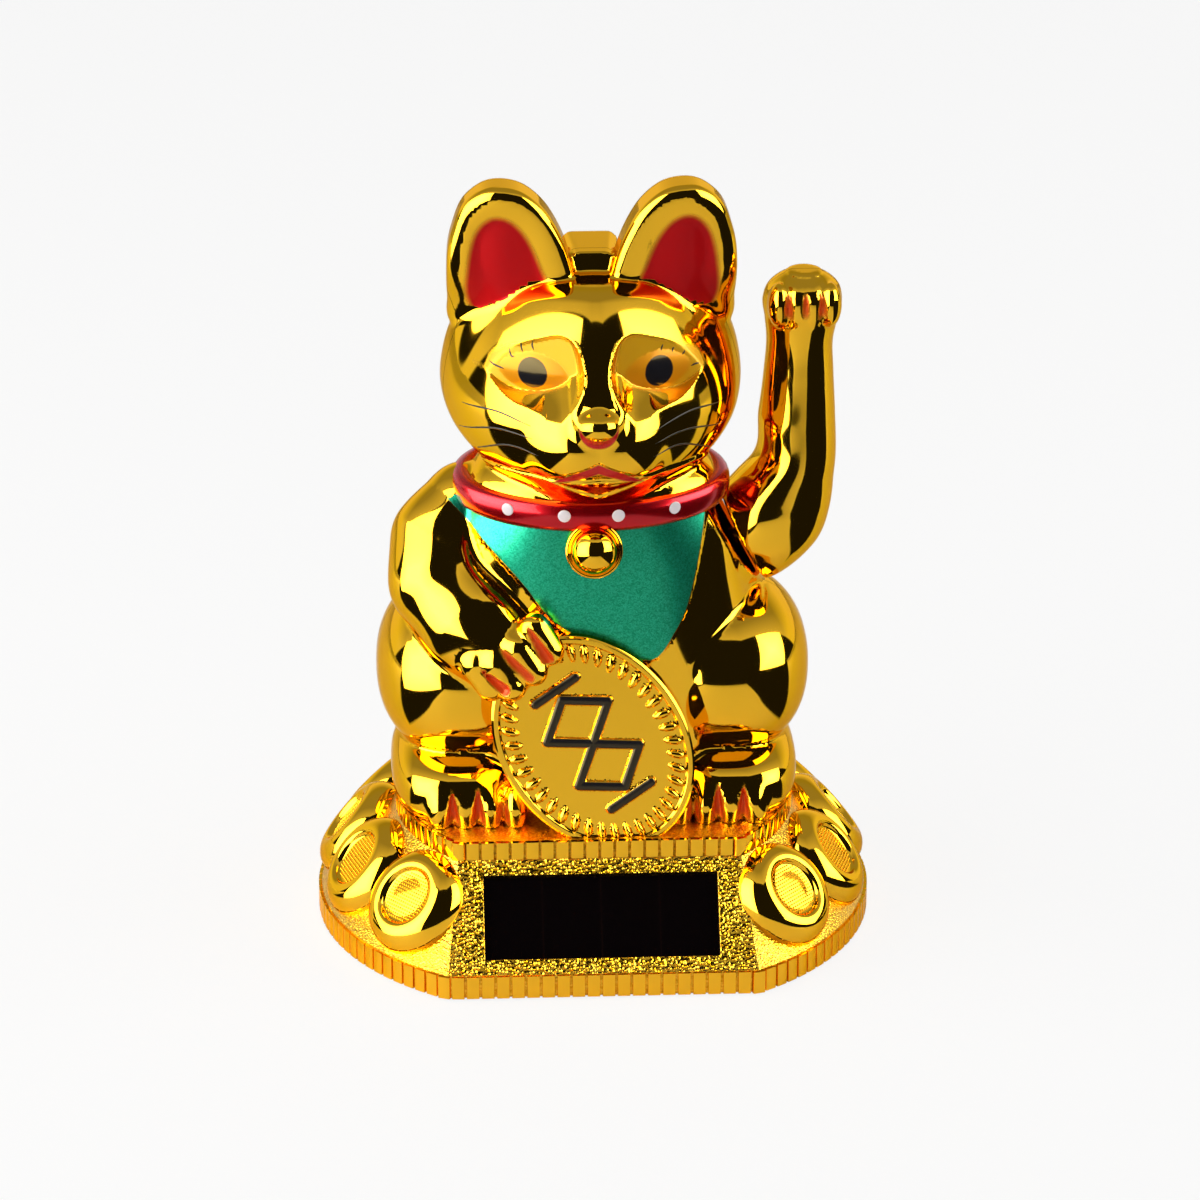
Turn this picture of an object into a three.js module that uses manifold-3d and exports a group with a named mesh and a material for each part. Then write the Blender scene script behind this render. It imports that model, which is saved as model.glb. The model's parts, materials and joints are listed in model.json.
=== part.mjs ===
// Beckoning cat figurine: a gold plated cat on a solar base, with one arm that swings on an axle.
// Millimetres. X points to the cat's left hand, Y to its back and Z up. It stands on z = 0.
import * as THREE from 'three';
import { mergeVertices } from 'three/addons/utils/BufferGeometryUtils.js';
import Module from 'manifold-3d';

const wasm = await Module();
wasm.setup();

// Fits
const seatGap = 0.3;            // between a piece and what it rests on
const seamGap = 0.1;            // between the two halves of the cat, and of its arm
const runningGap = 0.1;         // all round the axle in its bearings
const screwGap = 0.2;           // all round a screw

// Base cover
const rimRadius = 40;
const rimCentreY = -3.3;
const rimFlat = 33.4;           // from the rim's centre to its flat front
const rimHeight = 3.6;
const footInset = 0.6;          // the slope starts this far inside the rim
const plinthRadius = 28.6;
const plinthCentreY = -5.2;
const plinthFlat = 20.4;
const plinthTop = 19.2;
const plinthBand = 2.6;         // height of the upper knurled band
const knurlPitch = 2.4;
const knurlDepth = 0.35;
const coverWall = 1.5;
const coverLift = 0.3;          // the cover's edge stays this far off the table
const slopeArcSteps = 30;

// Round cups on the slope
const cupCount = 12;
const cupFirstAngle = 50;       // degrees from the front, and the same on the other side
const cupBaseRadius = 7.9;
const cupFaceRadius = 5.2;
const cupDishRadius = 4.1;
const cupHeight = 3;
const cupDishDepth = 0.8;

// Solar cell in its window
const cellWidth = 35;
const cellDepth = 14;
const cellThickness = 1.1;
const windowLip = 0.9;          // how far the window's edge covers the cell
const windowFrontWall = 0.7;    // plastic left in front of the cell

// Bottom plate and its screws
const plateThickness = 1.5;
const platePad = 3;             // height of the plate under a screw
const screwHeadRadius = 2.1;
const screwHeadHeight = 1.3;
const screwRadius = 1.1;
const bossWall = 1.8;
const plateScrewRadius = 28.5;
const plateScrewAngles = [58, 140, 220, 302];
const plateScrewLength = 7;

// Screws that hold the cat on the plinth
const catScrewX = 15;
const catScrewFrontY = -9;
const catScrewBackY = 7;
const catScrewLength = 9;
const catBossHeight = 10;
const catRib = 1.5;             // of the rib from each boss to the shell's wall

// Circuit board with the drive coil
const boardWidth = 32;
const boardDepth = 18;
const boardThickness = 1.2;
const boardCentreX = -4;
const boardPost = 0.9;          // height of the posts over the plate
const boardScrewLength = 2.2;
const boardScrewRadius = 0.7;
const boardScrewHeadRadius = 1.6;
const boardHoleInset = 2.5;
const boardPostRadius = 2.4;
const coilRadius = 6.6;
const coilCoreRadius = 2.2;
const bobbinFlange = 0.7;
const bobbinHeight = 4.2;
const bobbinRadius = 7;
const airGap = 1;               // from the bobbin to the magnet above it
const capacitorRadius = 2;
const capacitorLength = 7;
const transistorRadius = 2.3;
const transistorHeight = 4.5;
const leadRadius = 0.45;
const leadRedX = -8;
const leadBlackX = -11;

// Axle and pendulum
const axleHeight = 55.7;
const axleRadius = 1;
const axleIntoArm = 5;          // length of the axle inside the arm
const pendulumX = 3;
const sleeveLength = 14;
const sleeveRadius = 2.6;
const leverWidth = 3;
const leverDepth = 3.6;
const magnetRadius = 5;
const magnetThickness = 3;
const magnetHolderWall = 0.7;
const magnetHolderTop = 1.6;
const swingDegrees = 15;        // each way
const slotMargin = 0.8;         // from the lever to the end of its slot at full swing
const webThickness = 2;
const webHalfHeight = 6;

// Cat
const catWall = 1.2;
const catLift = 0.1;            // the cat stands this far over the plinth
const torsoSections = [         // height over the floor, half width, half depth, centre in Y
  [19.3, 24, 15.5, -1], [27, 25, 16.5, -1], [40, 24, 17, -1.5], [52, 22, 16.5, -1.5],
  [60, 20.3, 15, -2.5], [65, 18.6, 13.2, -3.5], [71, 17, 11.5, -4],
];
const torsoSquareness = 2.3;
const headCentre = [0, 3.9, 77.9];
const headHalfWidth = 21.5;
const headForward = 25.6;       // from its centre to the face
const headBehind = 9;
const headRise = 24.2;          // to the top of the egg, before the crown is planed
const headDrop = 14.5;
const headSquareness = 2;       // of its outline at the seam
const faceSquareness = 1.6;     // of its outline near the face
const faceFrom = 2;             // forward of the centre, where it turns from one to the other
const faceTo = 10;
const headKeel = 1.75;          // under 2, so that the face comes to a soft keel
const jawCurve = 1.15;
const headTopCentre = [0, -2, 81.3]; // the flatter dome that planes the top
const headTopRadii = [22.5, 60, 15];
const headLevels = [-0.97, -0.88, -0.72, -0.5, -0.25, 0, 0.2, 0.38, 0.52, 0.64, 0.76, 0.88, 0.97];
const earOutline = [            // x and z of the left ear, from its outer foot over the tip
  [20.6, 87], [20.6, 93], [20.2, 99], [19.4, 103], [18.1, 106.4], [15.6, 108.8], [13, 109.3],
  [10, 108.6], [7.4, 106.7], [5.4, 104], [3.6, 100], [2.4, 95], [2.4, 87],
];
const earCentre = [12, 96];
const earFrontY = -5.6;
const earTurnOut = 0.33;        // the outer half of its front face turns back this much per millimetre
const earBackY = 4;
const earDish = 0.6;
const crownFrontHalfWidth = 3.2;
const crownHalfWidth = 4;
const crownFrontTop = 96;
const crownTop = 98.9;
const crownFrontY = -2.8;
const crownEdgeY = -1.9;        // the steep front meets the flat top here
const crownBackY = 8.6;
const crownChamfer = 0.5;
const haunchCentre = [18.6, -1, 37];
const haunchRadii = [12.5, 17, 12.6];
const haunchSquareness = 2.25;
const footCentre = [19.4, -4, 22.8];
const footRadii = [9.8, 16.4, 6.2];
const footSquareness = 2.6;
const footToeX = [11.9, 15.3, 18.9, 22.6];
const footToeRadii = [1.9, 2.4, 3];
const noseRadius = 2.4;
const noseCentre = [0, -20.9, 81];
const bridgeCentre = [0, -17.9, 84.2];
const bridgeRadii = [2, 3, 4.4];
const muzzleCentre = [2.6, -16.8, 75.7];
const muzzleRadii = [6, 5.6, 5];
const chinCentre = [0, -13.6, 70.4];
const chinRadii = [7.4, 4.6, 3.6];
const bellRadius = 3.2;
const bellCentre = [0, -19.6, 61.1];
const collarHalfWidth = 18.6;
const collarHalfDepth = 13;
const collarCentreY = -3.8;
const collarCentreZ = 66.9;
const collarTilt = 0.17;        // the collar rises this much per millimetre towards the back
const collarHalfHeight = 2.1;
const collarThickness = 1.5;

// Arm that holds the coin: x, y, z and radius along it
const holdingArm = [
  [-17.6, -3, 61.8, 6.8], [-20.8, -4.5, 57, 7.5], [-21, -8.5, 52.5, 7.4],
  [-17, -13, 48, 7.2], [-12.6, -16.6, 44.6, 6.6],
];
const holdingToes = [[-7.6, -20.6, 47.6], [-9.8, -21, 44.6], [-12.8, -21, 42.4], [-15.4, -20, 42.2]];
const holdingToeRadii = [2.5, 2.6, 2.5];
const footToeForward = 0.86;    // the toes' place along the foot

// Coin
const coinHalfLength = 16.8;
const coinHalfWidth = 13;
const coinTurn = -55.6;         // degrees from the X axis to its long axis
const coinCentre = [-0.8, 32.9];
const coinFrontY = -24.3;       // of its face, at the plinth
const coinLean = 7.5;           // degrees back from upright
const coinThickness = 7;
const coinRibPitch = 1.95;
const coinRibLength = 2.6;
const coinRibHeight = 0.6;
const coinRibInset = 1.3;
const strokeWidth = 1.1;
const strokeHeight = 0.5;
const lozengeHalfLength = 3.9;
const lozengeHalfWidth = 5.2;
const endBarHalf = 3.4;
const endBarGap = 1.6;

// Waving arm: its sections by height over the axle, left edge, right edge and half depth. All its
// heights go from the axle, so that the arm, its hub and the shoulder move with it.
const armSections = [
  [-6.1, 23.4, 26.2, 3], [-4.7, 20.5, 28.2, 5], [-1.2, 17.5, 31.9, 7], [4.3, 17.5, 34.1, 7.3],
  [6.3, 18.4, 34.4, 7], [8.9, 20.6, 34.6, 6.6], [10.9, 22.5, 34.8, 6.2], [18.3, 23.8, 34.7, 5.5],
  [24.3, 24.5, 34.4, 5.1], [29.3, 24.8, 34.3, 5], [32.3, 24.5, 34.9, 5.4], [35.8, 24.2, 35.4, 5.8],
  [38.6, 25.2, 34.6, 5.2], [40.3, 27, 32.9, 3.4],
];
const armFootSections = 2;      // the lowest sections, which close its lower end
const armTop = axleHeight + 40.9;
const armBottom = axleHeight - 6.4;
const armWall = 1.2;
const armEnds = [24.8, 29.9];   // x of its lowest and highest point
const armHubRadius = 3.2;
const armHubEnd = 1;            // the hub goes this far past the end of the axle
const armHubReach = 6;          // and this far past the seam, where the arm's own skin ends it
const shoulderSeamX = 21.6;     // where the seam crosses the axle
const shoulderSeamTilt = 27;    // degrees from upright
const shoulderGap = 1;
const shoulderTop = axleHeight + 8.6; // the body is cut back beside the arm up to here
const shoulderCentre = [16.5, 0, axleHeight - 0.5];
const shoulderRadii = [10, 8, 9];
const pawToeX = [26.2, 28.9, 31.5, 34];
const pawToeY = -3.9;
const pawToeZ = armTop - 4.7;
const pawToeRadii = [1.5, 2.3, 2.9];

const farOut = 200;             // past the figurine on every side, for blocks that cut it

// How finely the round forms are cut: outside, and in the hollow behind them
const roundSteps = 20;
const outerDetail = { round: 16, plan: 28, limb: 10, ear: 15 };
const innerDetail = { round: 8, plan: 14, limb: 6, ear: 7 };

const radians = THREE.MathUtils.degToRad;

// Solids

// A closed solid from points and triangles, turned right side out.
function solid(points, faces) {
  const vertProperties = new Float32Array(points.flatMap((p) => [p.x, p.y, p.z]));
  let volume = 0;
  for (let i = 0; i < faces.length; i += 3) {
    const [a, b, c] = [points[faces[i]], points[faces[i + 1]], points[faces[i + 2]]];
    volume += a.dot(b.clone().cross(c));
  }
  const triVerts = new Uint32Array(faces);
  if (volume < 0) triVerts.reverse();
  return new wasm.Manifold(new wasm.Mesh({ numProp: 3, vertProperties, triVerts }));
}

function fromGeometry(geometry) {
  geometry.deleteAttribute('normal');
  geometry.deleteAttribute('uv');
  const merged = mergeVertices(geometry, 1e-4);
  const position = merged.attributes.position;
  const points = [];
  for (let i = 0; i < position.count; i++) {
    points.push(new THREE.Vector3().fromBufferAttribute(position, i));
  }
  const faces = [];
  for (let i = 0; i < merged.index.count; i += 3) {
    const face = [0, 1, 2].map((k) => merged.index.getX(i + k));
    if (new Set(face).size === 3) faces.push(...face);
  }
  return solid(points, faces);
}

function toGeometry(piece) {
  const mesh = piece.getMesh();
  const geometry = new THREE.BufferGeometry();
  geometry.setAttribute('position', new THREE.BufferAttribute(mesh.vertProperties, 3));
  geometry.setIndex(new THREE.BufferAttribute(mesh.triVerts, 1));
  geometry.computeVertexNormals();
  return geometry;
}

const join = (pieces) => pieces.reduce((whole, piece) => whole.add(piece));
const cut = (piece, tools) => tools.reduce((rest, tool) => rest.subtract(tool), piece);

// A closed skin through rings of as many points each, with a point at either end.
function loft(rings, start, end) {
  const middle = (ring) => ring.reduce((sum, p) => sum.add(p), new THREE.Vector3())
    .divideScalar(ring.length);
  const count = rings[0].length;
  const points = rings.flat();
  points.push(start ?? middle(rings[0]), end ?? middle(rings.at(-1)));
  const faces = [];
  const last = (rings.length - 1) * count;
  for (let i = 0; i < count; i++) {
    const j = (i + 1) % count;
    for (let r = 0; r < last; r += count) {
      faces.push(r + i, r + j, r + j + count, r + i, r + j + count, r + i + count);
    }
    faces.push(points.length - 2, j, i, points.length - 1, last + i, last + j);
  }
  return solid(points, faces);
}

// A closed skin along a loop of rings.
function loopSkin(rings) {
  const count = rings[0].length;
  const points = rings.flat();
  const faces = [];
  rings.forEach((ring, r) => {
    const next = ((r + 1) % rings.length) * count;
    for (let i = 0; i < count; i++) {
      const j = (i + 1) % count;
      faces.push(r * count + i, r * count + j, next + j, r * count + i, next + j, next + i);
    }
  });
  return solid(points, faces);
}

const around = (count, place) => Array.from({ length: count }, (_, i) => place((2 * Math.PI * i) / count));

function box([x0, y0, z0], [x1, y1, z1]) {
  const geometry = new THREE.BoxGeometry(x1 - x0, y1 - y0, z1 - z0);
  geometry.translate((x0 + x1) / 2, (y0 + y1) / 2, (z0 + z1) / 2);
  return fromGeometry(geometry);
}

// An upright cylinder, or a cone where the top radius differs.
function post(x, y, z0, z1, radius, steps = roundSteps, topRadius = radius) {
  const geometry = new THREE.CylinderGeometry(topRadius, radius, z1 - z0, steps);
  geometry.rotateX(Math.PI / 2);
  geometry.translate(x, y, (z0 + z1) / 2);
  return fromGeometry(geometry);
}

// A cylinder along X.
function rod(x0, x1, y, z, radius, steps = roundSteps) {
  const geometry = new THREE.CylinderGeometry(radius, radius, x1 - x0, steps);
  geometry.rotateZ(Math.PI / 2);
  geometry.translate((x0 + x1) / 2, y, z);
  return fromGeometry(geometry);
}

function ball([x, y, z], [rx, ry, rz], steps = roundSteps) {
  const geometry = new THREE.SphereGeometry(1, steps, Math.round(steps / 2));
  geometry.rotateX(Math.PI / 2);
  geometry.scale(rx, ry, rz);
  geometry.translate(x, y, z);
  return fromGeometry(geometry);
}

// A ball pressed towards a box: the higher the squareness, the fuller its corners.
function pillow([x, y, z], [rx, ry, rz], squareness, steps) {
  const geometry = new THREE.SphereGeometry(1, steps, Math.round(steps / 2));
  geometry.rotateX(Math.PI / 2);
  const position = geometry.attributes.position;
  for (let i = 0; i < position.count; i++) {
    const p = new THREE.Vector3().fromBufferAttribute(position, i);
    const reach = [p.x, p.y, p.z].reduce((sum, v) => sum + Math.abs(v) ** squareness, 0) ** (1 / squareness);
    position.setXYZ(i, x + (rx * p.x) / reach, y + (ry * p.y) / reach, z + (rz * p.z) / reach);
  }
  return fromGeometry(geometry);
}

// A ring or disc turned about the upright axis through x, y, from pairs of radius and height.
function turned(profile, steps = roundSteps) {
  const geometry = new THREE.LatheGeometry(profile.map(([r, z]) => new THREE.Vector2(r, z)), steps);
  geometry.rotateX(Math.PI / 2);
  return geometry;
}

function slab(outline, z0, z1) {
  const shape = new THREE.Shape(outline.map(([x, y]) => new THREE.Vector2(x, y)));
  const geometry = new THREE.ExtrudeGeometry(shape, { depth: z1 - z0, bevelEnabled: false });
  geometry.translate(0, 0, z0);
  return fromGeometry(geometry);
}

// Everything on one side of a plane: from the point, along the direction.
function halfSpace(point, direction) {
  const size = 400;
  const geometry = new THREE.BoxGeometry(size, size, size);
  geometry.translate(0, 0, size / 2);
  geometry.applyQuaternion(new THREE.Quaternion().setFromUnitVectors(
    new THREE.Vector3(0, 0, 1), direction.clone().normalize()));
  geometry.translate(point.x, point.y, point.z);
  return fromGeometry(geometry);
}

const bothSides = (make) => [make(-1), make(1)];

// Base outlines

// A circle with its front cut flat: points from the right corner round the back to the left one.
function cutCircle(radius, centreY, flat, steps) {
  const corner = Math.acos(flat / radius);
  return Array.from({ length: steps + 1 }, (_, i) => {
    const angle = corner + (2 * (Math.PI - corner) * i) / steps;
    return [radius * Math.sin(angle), centreY - radius * Math.cos(angle)];
  });
}

// The same outline with shallow ribs all the way round it.
function knurled(radius, centreY, flat) {
  const corner = Math.acos(flat / radius);
  const arcLength = 2 * (Math.PI - corner) * radius;
  const flatHalf = radius * Math.sin(corner);
  const arcRibs = Math.round(arcLength / knurlPitch);
  const flatRibs = Math.round((2 * flatHalf) / knurlPitch);
  const outline = [];
  for (let i = 0; i < 2 * arcRibs; i++) {
    const angle = corner + (2 * (Math.PI - corner) * i) / (2 * arcRibs);
    const reach = i % 2 ? radius - knurlDepth : radius;
    outline.push([reach * Math.sin(angle), centreY - reach * Math.cos(angle)]);
  }
  for (let i = 0; i < 2 * flatRibs; i++) {
    const x = -flatHalf + (2 * flatHalf * i) / (2 * flatRibs);
    outline.push([x, centreY - flat + (i % 2 ? knurlDepth : 0)]);
  }
  return outline;
}

const bandBottom = plinthTop - plinthBand;
const slopeRadius = rimRadius - footInset;
const slopeFlat = rimFlat - footInset;

// The sloping body of the base, drawn in by the wall for its hollow.
function slopeForm(inset, z0, z1) {
  const level = (radius, centreY, flat, z) => cutCircle(radius, centreY, flat, slopeArcSteps)
    .map(([x, y]) => new THREE.Vector3(x, y, z));
  return loft([
    level(slopeRadius - inset, rimCentreY, slopeFlat - inset, z0),
    level(slopeRadius - inset, rimCentreY, slopeFlat - inset, rimHeight),
    level(plinthRadius - inset, plinthCentreY, plinthFlat - inset, bandBottom),
    level(plinthRadius - inset, plinthCentreY, plinthFlat - inset, z1),
  ]);
}

// The front panel's plane: its middle, its direction up the slope and its outward direction.
const panelFoot = new THREE.Vector3(0, rimCentreY - slopeFlat, rimHeight);
const panelHead = new THREE.Vector3(0, plinthCentreY - plinthFlat, bandBottom);
const panelMiddle = panelFoot.clone().add(panelHead).divideScalar(2);
const panelUp = panelHead.clone().sub(panelFoot).normalize();
const panelOut = new THREE.Vector3(1, 0, 0).cross(panelUp).normalize();

// A block on the panel, from one depth under its face to another.
function panelBlock(width, height, from, to) {
  const geometry = new THREE.BoxGeometry(width, height, Math.abs(to - from));
  geometry.translate(0, 0, (from + to) / 2);
  geometry.applyMatrix4(new THREE.Matrix4().makeBasis(new THREE.Vector3(1, 0, 0), panelUp, panelOut));
  geometry.translate(panelMiddle.x, panelMiddle.y, panelMiddle.z);
  return fromGeometry(geometry);
}

// One cup: a round shoulder that carries a flat ring with a dished disc in it.
function cup(angle) {
  const geometry = turned([
    [0, -coverWall], [cupBaseRadius, -coverWall / 2], [cupBaseRadius, 0],
    [(cupBaseRadius * 2 + cupFaceRadius) / 3, cupHeight * 0.62], [cupFaceRadius, cupHeight],
    [cupDishRadius, cupHeight], [cupDishRadius - cupDishDepth / 2, cupHeight - cupDishDepth],
    [0, cupHeight - cupDishDepth / 2],
  ], 10);
  const run = slopeRadius - plinthRadius;
  const rise = bandBottom - rimHeight;
  const tilt = Math.atan2(rise, run);
  geometry.rotateY(tilt);
  geometry.translate((slopeRadius + plinthRadius) / 2, 0, (rimHeight + bandBottom) / 2);
  geometry.rotateZ(angle - Math.PI / 2);
  geometry.translate(0, rimCentreY, 0);
  return fromGeometry(geometry);
}

function cups() {
  const first = radians(cupFirstAngle);
  const step = (2 * Math.PI - 2 * first) / (cupCount - 1);
  return Array.from({ length: cupCount }, (_, i) => cup(first + i * step));
}

// Places of the screws

const plateScrews = plateScrewAngles.map((degrees) => {
  const angle = radians(degrees);
  return [plateScrewRadius * Math.sin(angle), rimCentreY - plateScrewRadius * Math.cos(angle)];
});
const catScrews = [
  [-catScrewX, catScrewFrontY], [catScrewX, catScrewFrontY],
  [-catScrewX, catScrewBackY], [catScrewX, catScrewBackY],
];
const boardScrews = bothSides((side) => [
  boardCentreX + side * (boardWidth / 2 - boardHoleInset), boardDepth / 2 - boardHoleInset,
]);

// A pan head screw that points up, with its head under the given height.
function screw([x, y], seat, length) {
  const head = post(x, y, seat - screwHeadHeight, seat, screwHeadRadius * 0.82, 12, screwHeadRadius);
  const shank = post(x, y, seat - 0.1, seat + length, screwRadius, 8);
  const slot = box(
    [x - screwHeadRadius, y - 0.3, seat - screwHeadHeight - 1],
    [x + screwHeadRadius, y + 0.3, seat - screwHeadHeight + 0.5]);
  return head.add(shank).subtract(slot);
}

const screwHole = ([x, y], z0, z1) => post(x, y, z0, z1, screwRadius + screwGap, 8);
const boardScrewHole = ([x, y], z0, z1) => post(x, y, z0, z1, boardScrewRadius + screwGap, 10);

// Heights in the base

const plateSeat = platePad - screwHeadHeight;                // heads of the plate's screws bear here
const boardBottom = plateThickness + boardPost + seatGap;
const boardTop = boardBottom + boardThickness;
const bobbinBottom = boardTop + seatGap;
const bobbinTop = bobbinBottom + bobbinHeight;
const magnetBottom = bobbinTop + airGap;
const magnetTop = magnetBottom + magnetThickness;
const plinthUnderside = plinthTop - coverWall;
const catBottom = plinthTop + catLift;

// The slot that the pendulum hangs through, long enough for its swing and wide enough for its magnet.
const slotHalfWidth = magnetRadius + magnetHolderWall + seatGap + slotMargin;
const slotHalfLength = (axleHeight - plinthUnderside) * Math.sin(radians(swingDegrees))
  + leverDepth / 2 + slotMargin + 0.2;

function makeBaseCover() {
  const outside = join([
    slab(knurled(rimRadius, rimCentreY, rimFlat), coverLift, rimHeight),
    slopeForm(0, coverLift, bandBottom),
    slab(knurled(plinthRadius, plinthCentreY, plinthFlat), bandBottom, plinthTop),
    ...cups(),
  ]).subtract(halfSpace(panelMiddle, panelOut).intersect(
    box([-rimRadius, -rimRadius, rimHeight], [rimRadius, panelHead.y, bandBottom])));
  const hollow = slopeForm(coverWall, -1, plinthUnderside);
  const bosses = [
    ...plateScrews.map(([x, y]) => post(x, y, platePad + seatGap, plinthUnderside,
      screwRadius + bossWall, 12).intersect(slopeForm(coverWall / 2, 0, plinthUnderside))),
  ];
  const windowWidth = cellWidth - 2 * windowLip;
  const windowHeight = cellDepth - 2 * windowLip;
  const cellPocket = panelBlock(cellWidth + 2 * seatGap, cellDepth + 2 * seatGap,
    -windowFrontWall - cellThickness - coverWall - 2, -windowFrontWall);
  return cut(join([outside.subtract(hollow), ...bosses]), [
    cellPocket,
    panelBlock(windowWidth, windowHeight, -coverWall - 2, 1),
    box([pendulumX - slotHalfWidth, -slotHalfLength, plinthUnderside - 1],
      [pendulumX + slotHalfWidth, slotHalfLength, plinthTop + 1]),
    ...plateScrews.map((place) => screwHole(place, 0, plateSeat + plateScrewLength + 0.5)),
    ...catScrews.map((place) => screwHole(place, plinthUnderside - 1, plinthTop + 1)),
  ]);
}

function makeBottomPlate() {
  const inset = coverWall + seatGap;
  const outline = cutCircle(slopeRadius - inset, rimCentreY, slopeFlat - inset, 36);
  const pads = plateScrews.map(([x, y]) => post(x, y, 0, platePad, screwHeadRadius + bossWall, 12));
  const posts = boardScrews.map(([x, y]) => post(x, y, 0, plateThickness + boardPost, boardPostRadius, 12));
  return cut(join([slab(outline, 0, plateThickness), ...pads, ...posts]), [
    ...plateScrews.map(([x, y]) => post(x, y, -1, plateSeat, screwHeadRadius + screwGap, 12)),
    ...plateScrews.map((place) => screwHole(place, 0, platePad + 1)),
    ...boardScrews.map((place) => boardScrewHole(place, plateThickness / 2, platePad)),
  ]);
}

const makeCell = () => panelBlock(cellWidth, cellDepth,
  -windowFrontWall - seatGap - cellThickness, -windowFrontWall - seatGap);

// Board, coil and parts

function makeBoard() {
  const half = boardWidth / 2;
  const plate = box([boardCentreX - half, -boardDepth / 2, boardBottom],
    [boardCentreX + half, boardDepth / 2, boardTop]);
  return cut(plate, boardScrews.map((place) => boardScrewHole(place, 0, boardTop + 1)));
}

function makeBoardScrew([x, y]) {
  const seat = boardTop + seatGap;
  const bottom = Math.max(seat - boardScrewLength, plateThickness / 2 + seatGap);
  return post(x, y, seat, seat + 1, boardScrewHeadRadius, 14, boardScrewHeadRadius - 0.3)
    .add(post(x, y, bottom, seat + 0.1, boardScrewRadius, 10));
}

function makeBobbin() {
  const geometry = turned([
    [coilCoreRadius - 0.8, 0], [bobbinRadius, 0], [bobbinRadius, bobbinFlange],
    [coilCoreRadius, bobbinFlange], [coilCoreRadius, bobbinHeight - bobbinFlange],
    [bobbinRadius, bobbinHeight - bobbinFlange], [bobbinRadius, bobbinHeight],
    [coilCoreRadius - 0.8, bobbinHeight], [coilCoreRadius - 0.8, 0],
  ]);
  geometry.translate(pendulumX, 0, bobbinBottom);
  return fromGeometry(geometry);
}

function makeCoil() {
  const inner = coilCoreRadius + seatGap;
  const [z0, z1] = [bobbinFlange + seatGap, bobbinHeight - bobbinFlange - seatGap];
  const geometry = turned([[inner, z0], [coilRadius, z0], [coilRadius, z1], [inner, z1], [inner, z0]]);
  geometry.translate(pendulumX, 0, bobbinBottom);
  return fromGeometry(geometry);
}

const partsX = boardCentreX - boardWidth / 4;
const capacitorY = boardDepth / 5;

function makeCapacitor() {
  const z = boardTop + seatGap + capacitorRadius;
  return rod(partsX - capacitorLength / 2, partsX + capacitorLength / 2, capacitorY, z, capacitorRadius, 16);
}

function makeTransistor() {
  const y = -boardDepth / 4;
  const bottom = boardTop + seatGap;
  const flat = new THREE.Vector3(partsX, y + transistorRadius / 2, bottom);
  return post(partsX, y, bottom, bottom + transistorHeight, transistorRadius, 16)
    .subtract(halfSpace(flat, new THREE.Vector3(0, 1, 0)));
}

// A lead from the back of the cell to the edge of the board.
function makeLead(x) {
  const back = panelMiddle.clone().addScaledVector(panelOut,
    -windowFrontWall - 2 * seatGap - cellThickness - leadRadius);
  const end = new THREE.Vector3(x, -boardDepth / 2 + 2, boardTop + seatGap + leadRadius);
  const start = new THREE.Vector3(x, back.y, back.z);
  const path = new THREE.CatmullRomCurve3([
    start, start.clone().addScaledVector(panelOut, -3),
    new THREE.Vector3(x, (start.y + end.y) / 2, end.z + 2.5),
    new THREE.Vector3(x, end.y - 3, end.z), end,
  ]);
  const section = new THREE.Shape(around(6, (t) => new THREE.Vector2(Math.cos(t), Math.sin(t))
    .multiplyScalar(leadRadius)));
  return fromGeometry(new THREE.ExtrudeGeometry(section, { steps: 9, extrudePath: path }));
}

// Shoulder seam: the plane between the body and the waving arm, seen from the front a slanted line.
const seamPoint = new THREE.Vector3(shoulderSeamX, 0, axleHeight);
const seamTurn = radians(shoulderSeamTilt);
const seamOut = new THREE.Vector3(Math.cos(seamTurn), 0, Math.sin(seamTurn));
const seamPlaneAt = (offset) => seamPoint.clone().addScaledVector(seamOut, offset);

// Cat forms. Each takes how far it grows, so that the hollow is the same form drawn in by the wall.

const signedPower = (value, power) => Math.sign(value) * Math.abs(value) ** power;

function torso(grow, detail) {
  const rings = torsoSections.map(([z, rx, ry, cy], i) => around(detail.plan, (t) => new THREE.Vector3(
    (rx + grow) * signedPower(Math.cos(t), 2 / torsoSquareness),
    cy + (ry + grow) * signedPower(Math.sin(t), 2 / torsoSquareness),
    i === 0 ? z - 2 : z)));
  return loft(rings);
}

// The head is an egg, boxy at the seam and keeled at the face, with its top planed to a flatter dome.
function head(grow, detail) {
  const [cx, cy, cz] = headCentre;
  const [tx, ty, tz] = headTopCentre;
  const [wide, deep, high] = headTopRadii;
  const underDome = (x, y, z) => Math.min(z, tz + (high + grow)
    * Math.sqrt(1 - ((x - tx) / wide) ** 2 - ((y - ty) / deep) ** 2));
  const heightAt = (level) => cz + level * ((level > 0 ? headRise : headDrop) + grow);
  const ringAt = (level) => {
    const rise = level > 0 ? level : Math.abs(level) ** jawCurve;
    const reach = (1 - rise ** headKeel) ** (1 / headKeel);
    return around(detail.plan, (t) => {
      const share = reach * Math.sin(t);
      const along = share * ((share > 0 ? headBehind : headForward) + grow);
      const power = THREE.MathUtils.lerp(headSquareness, faceSquareness,
        THREE.MathUtils.smoothstep(-along, faceFrom, faceTo));
      const room = (1 - Math.abs(share) ** headKeel) ** (power / headKeel) - rise ** power;
      const x = cx + (headHalfWidth + grow) * Math.sign(Math.cos(t)) * Math.max(room, 0) ** (1 / power);
      return new THREE.Vector3(x, cy + along, underDome(x, cy + along, heightAt(level)));
    });
  };
  const tip = (level) => new THREE.Vector3(cx, cy, underDome(cx, cy, heightAt(level)));
  return loft(headLevels.map(ringAt), tip(-1), tip(1));
}

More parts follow.
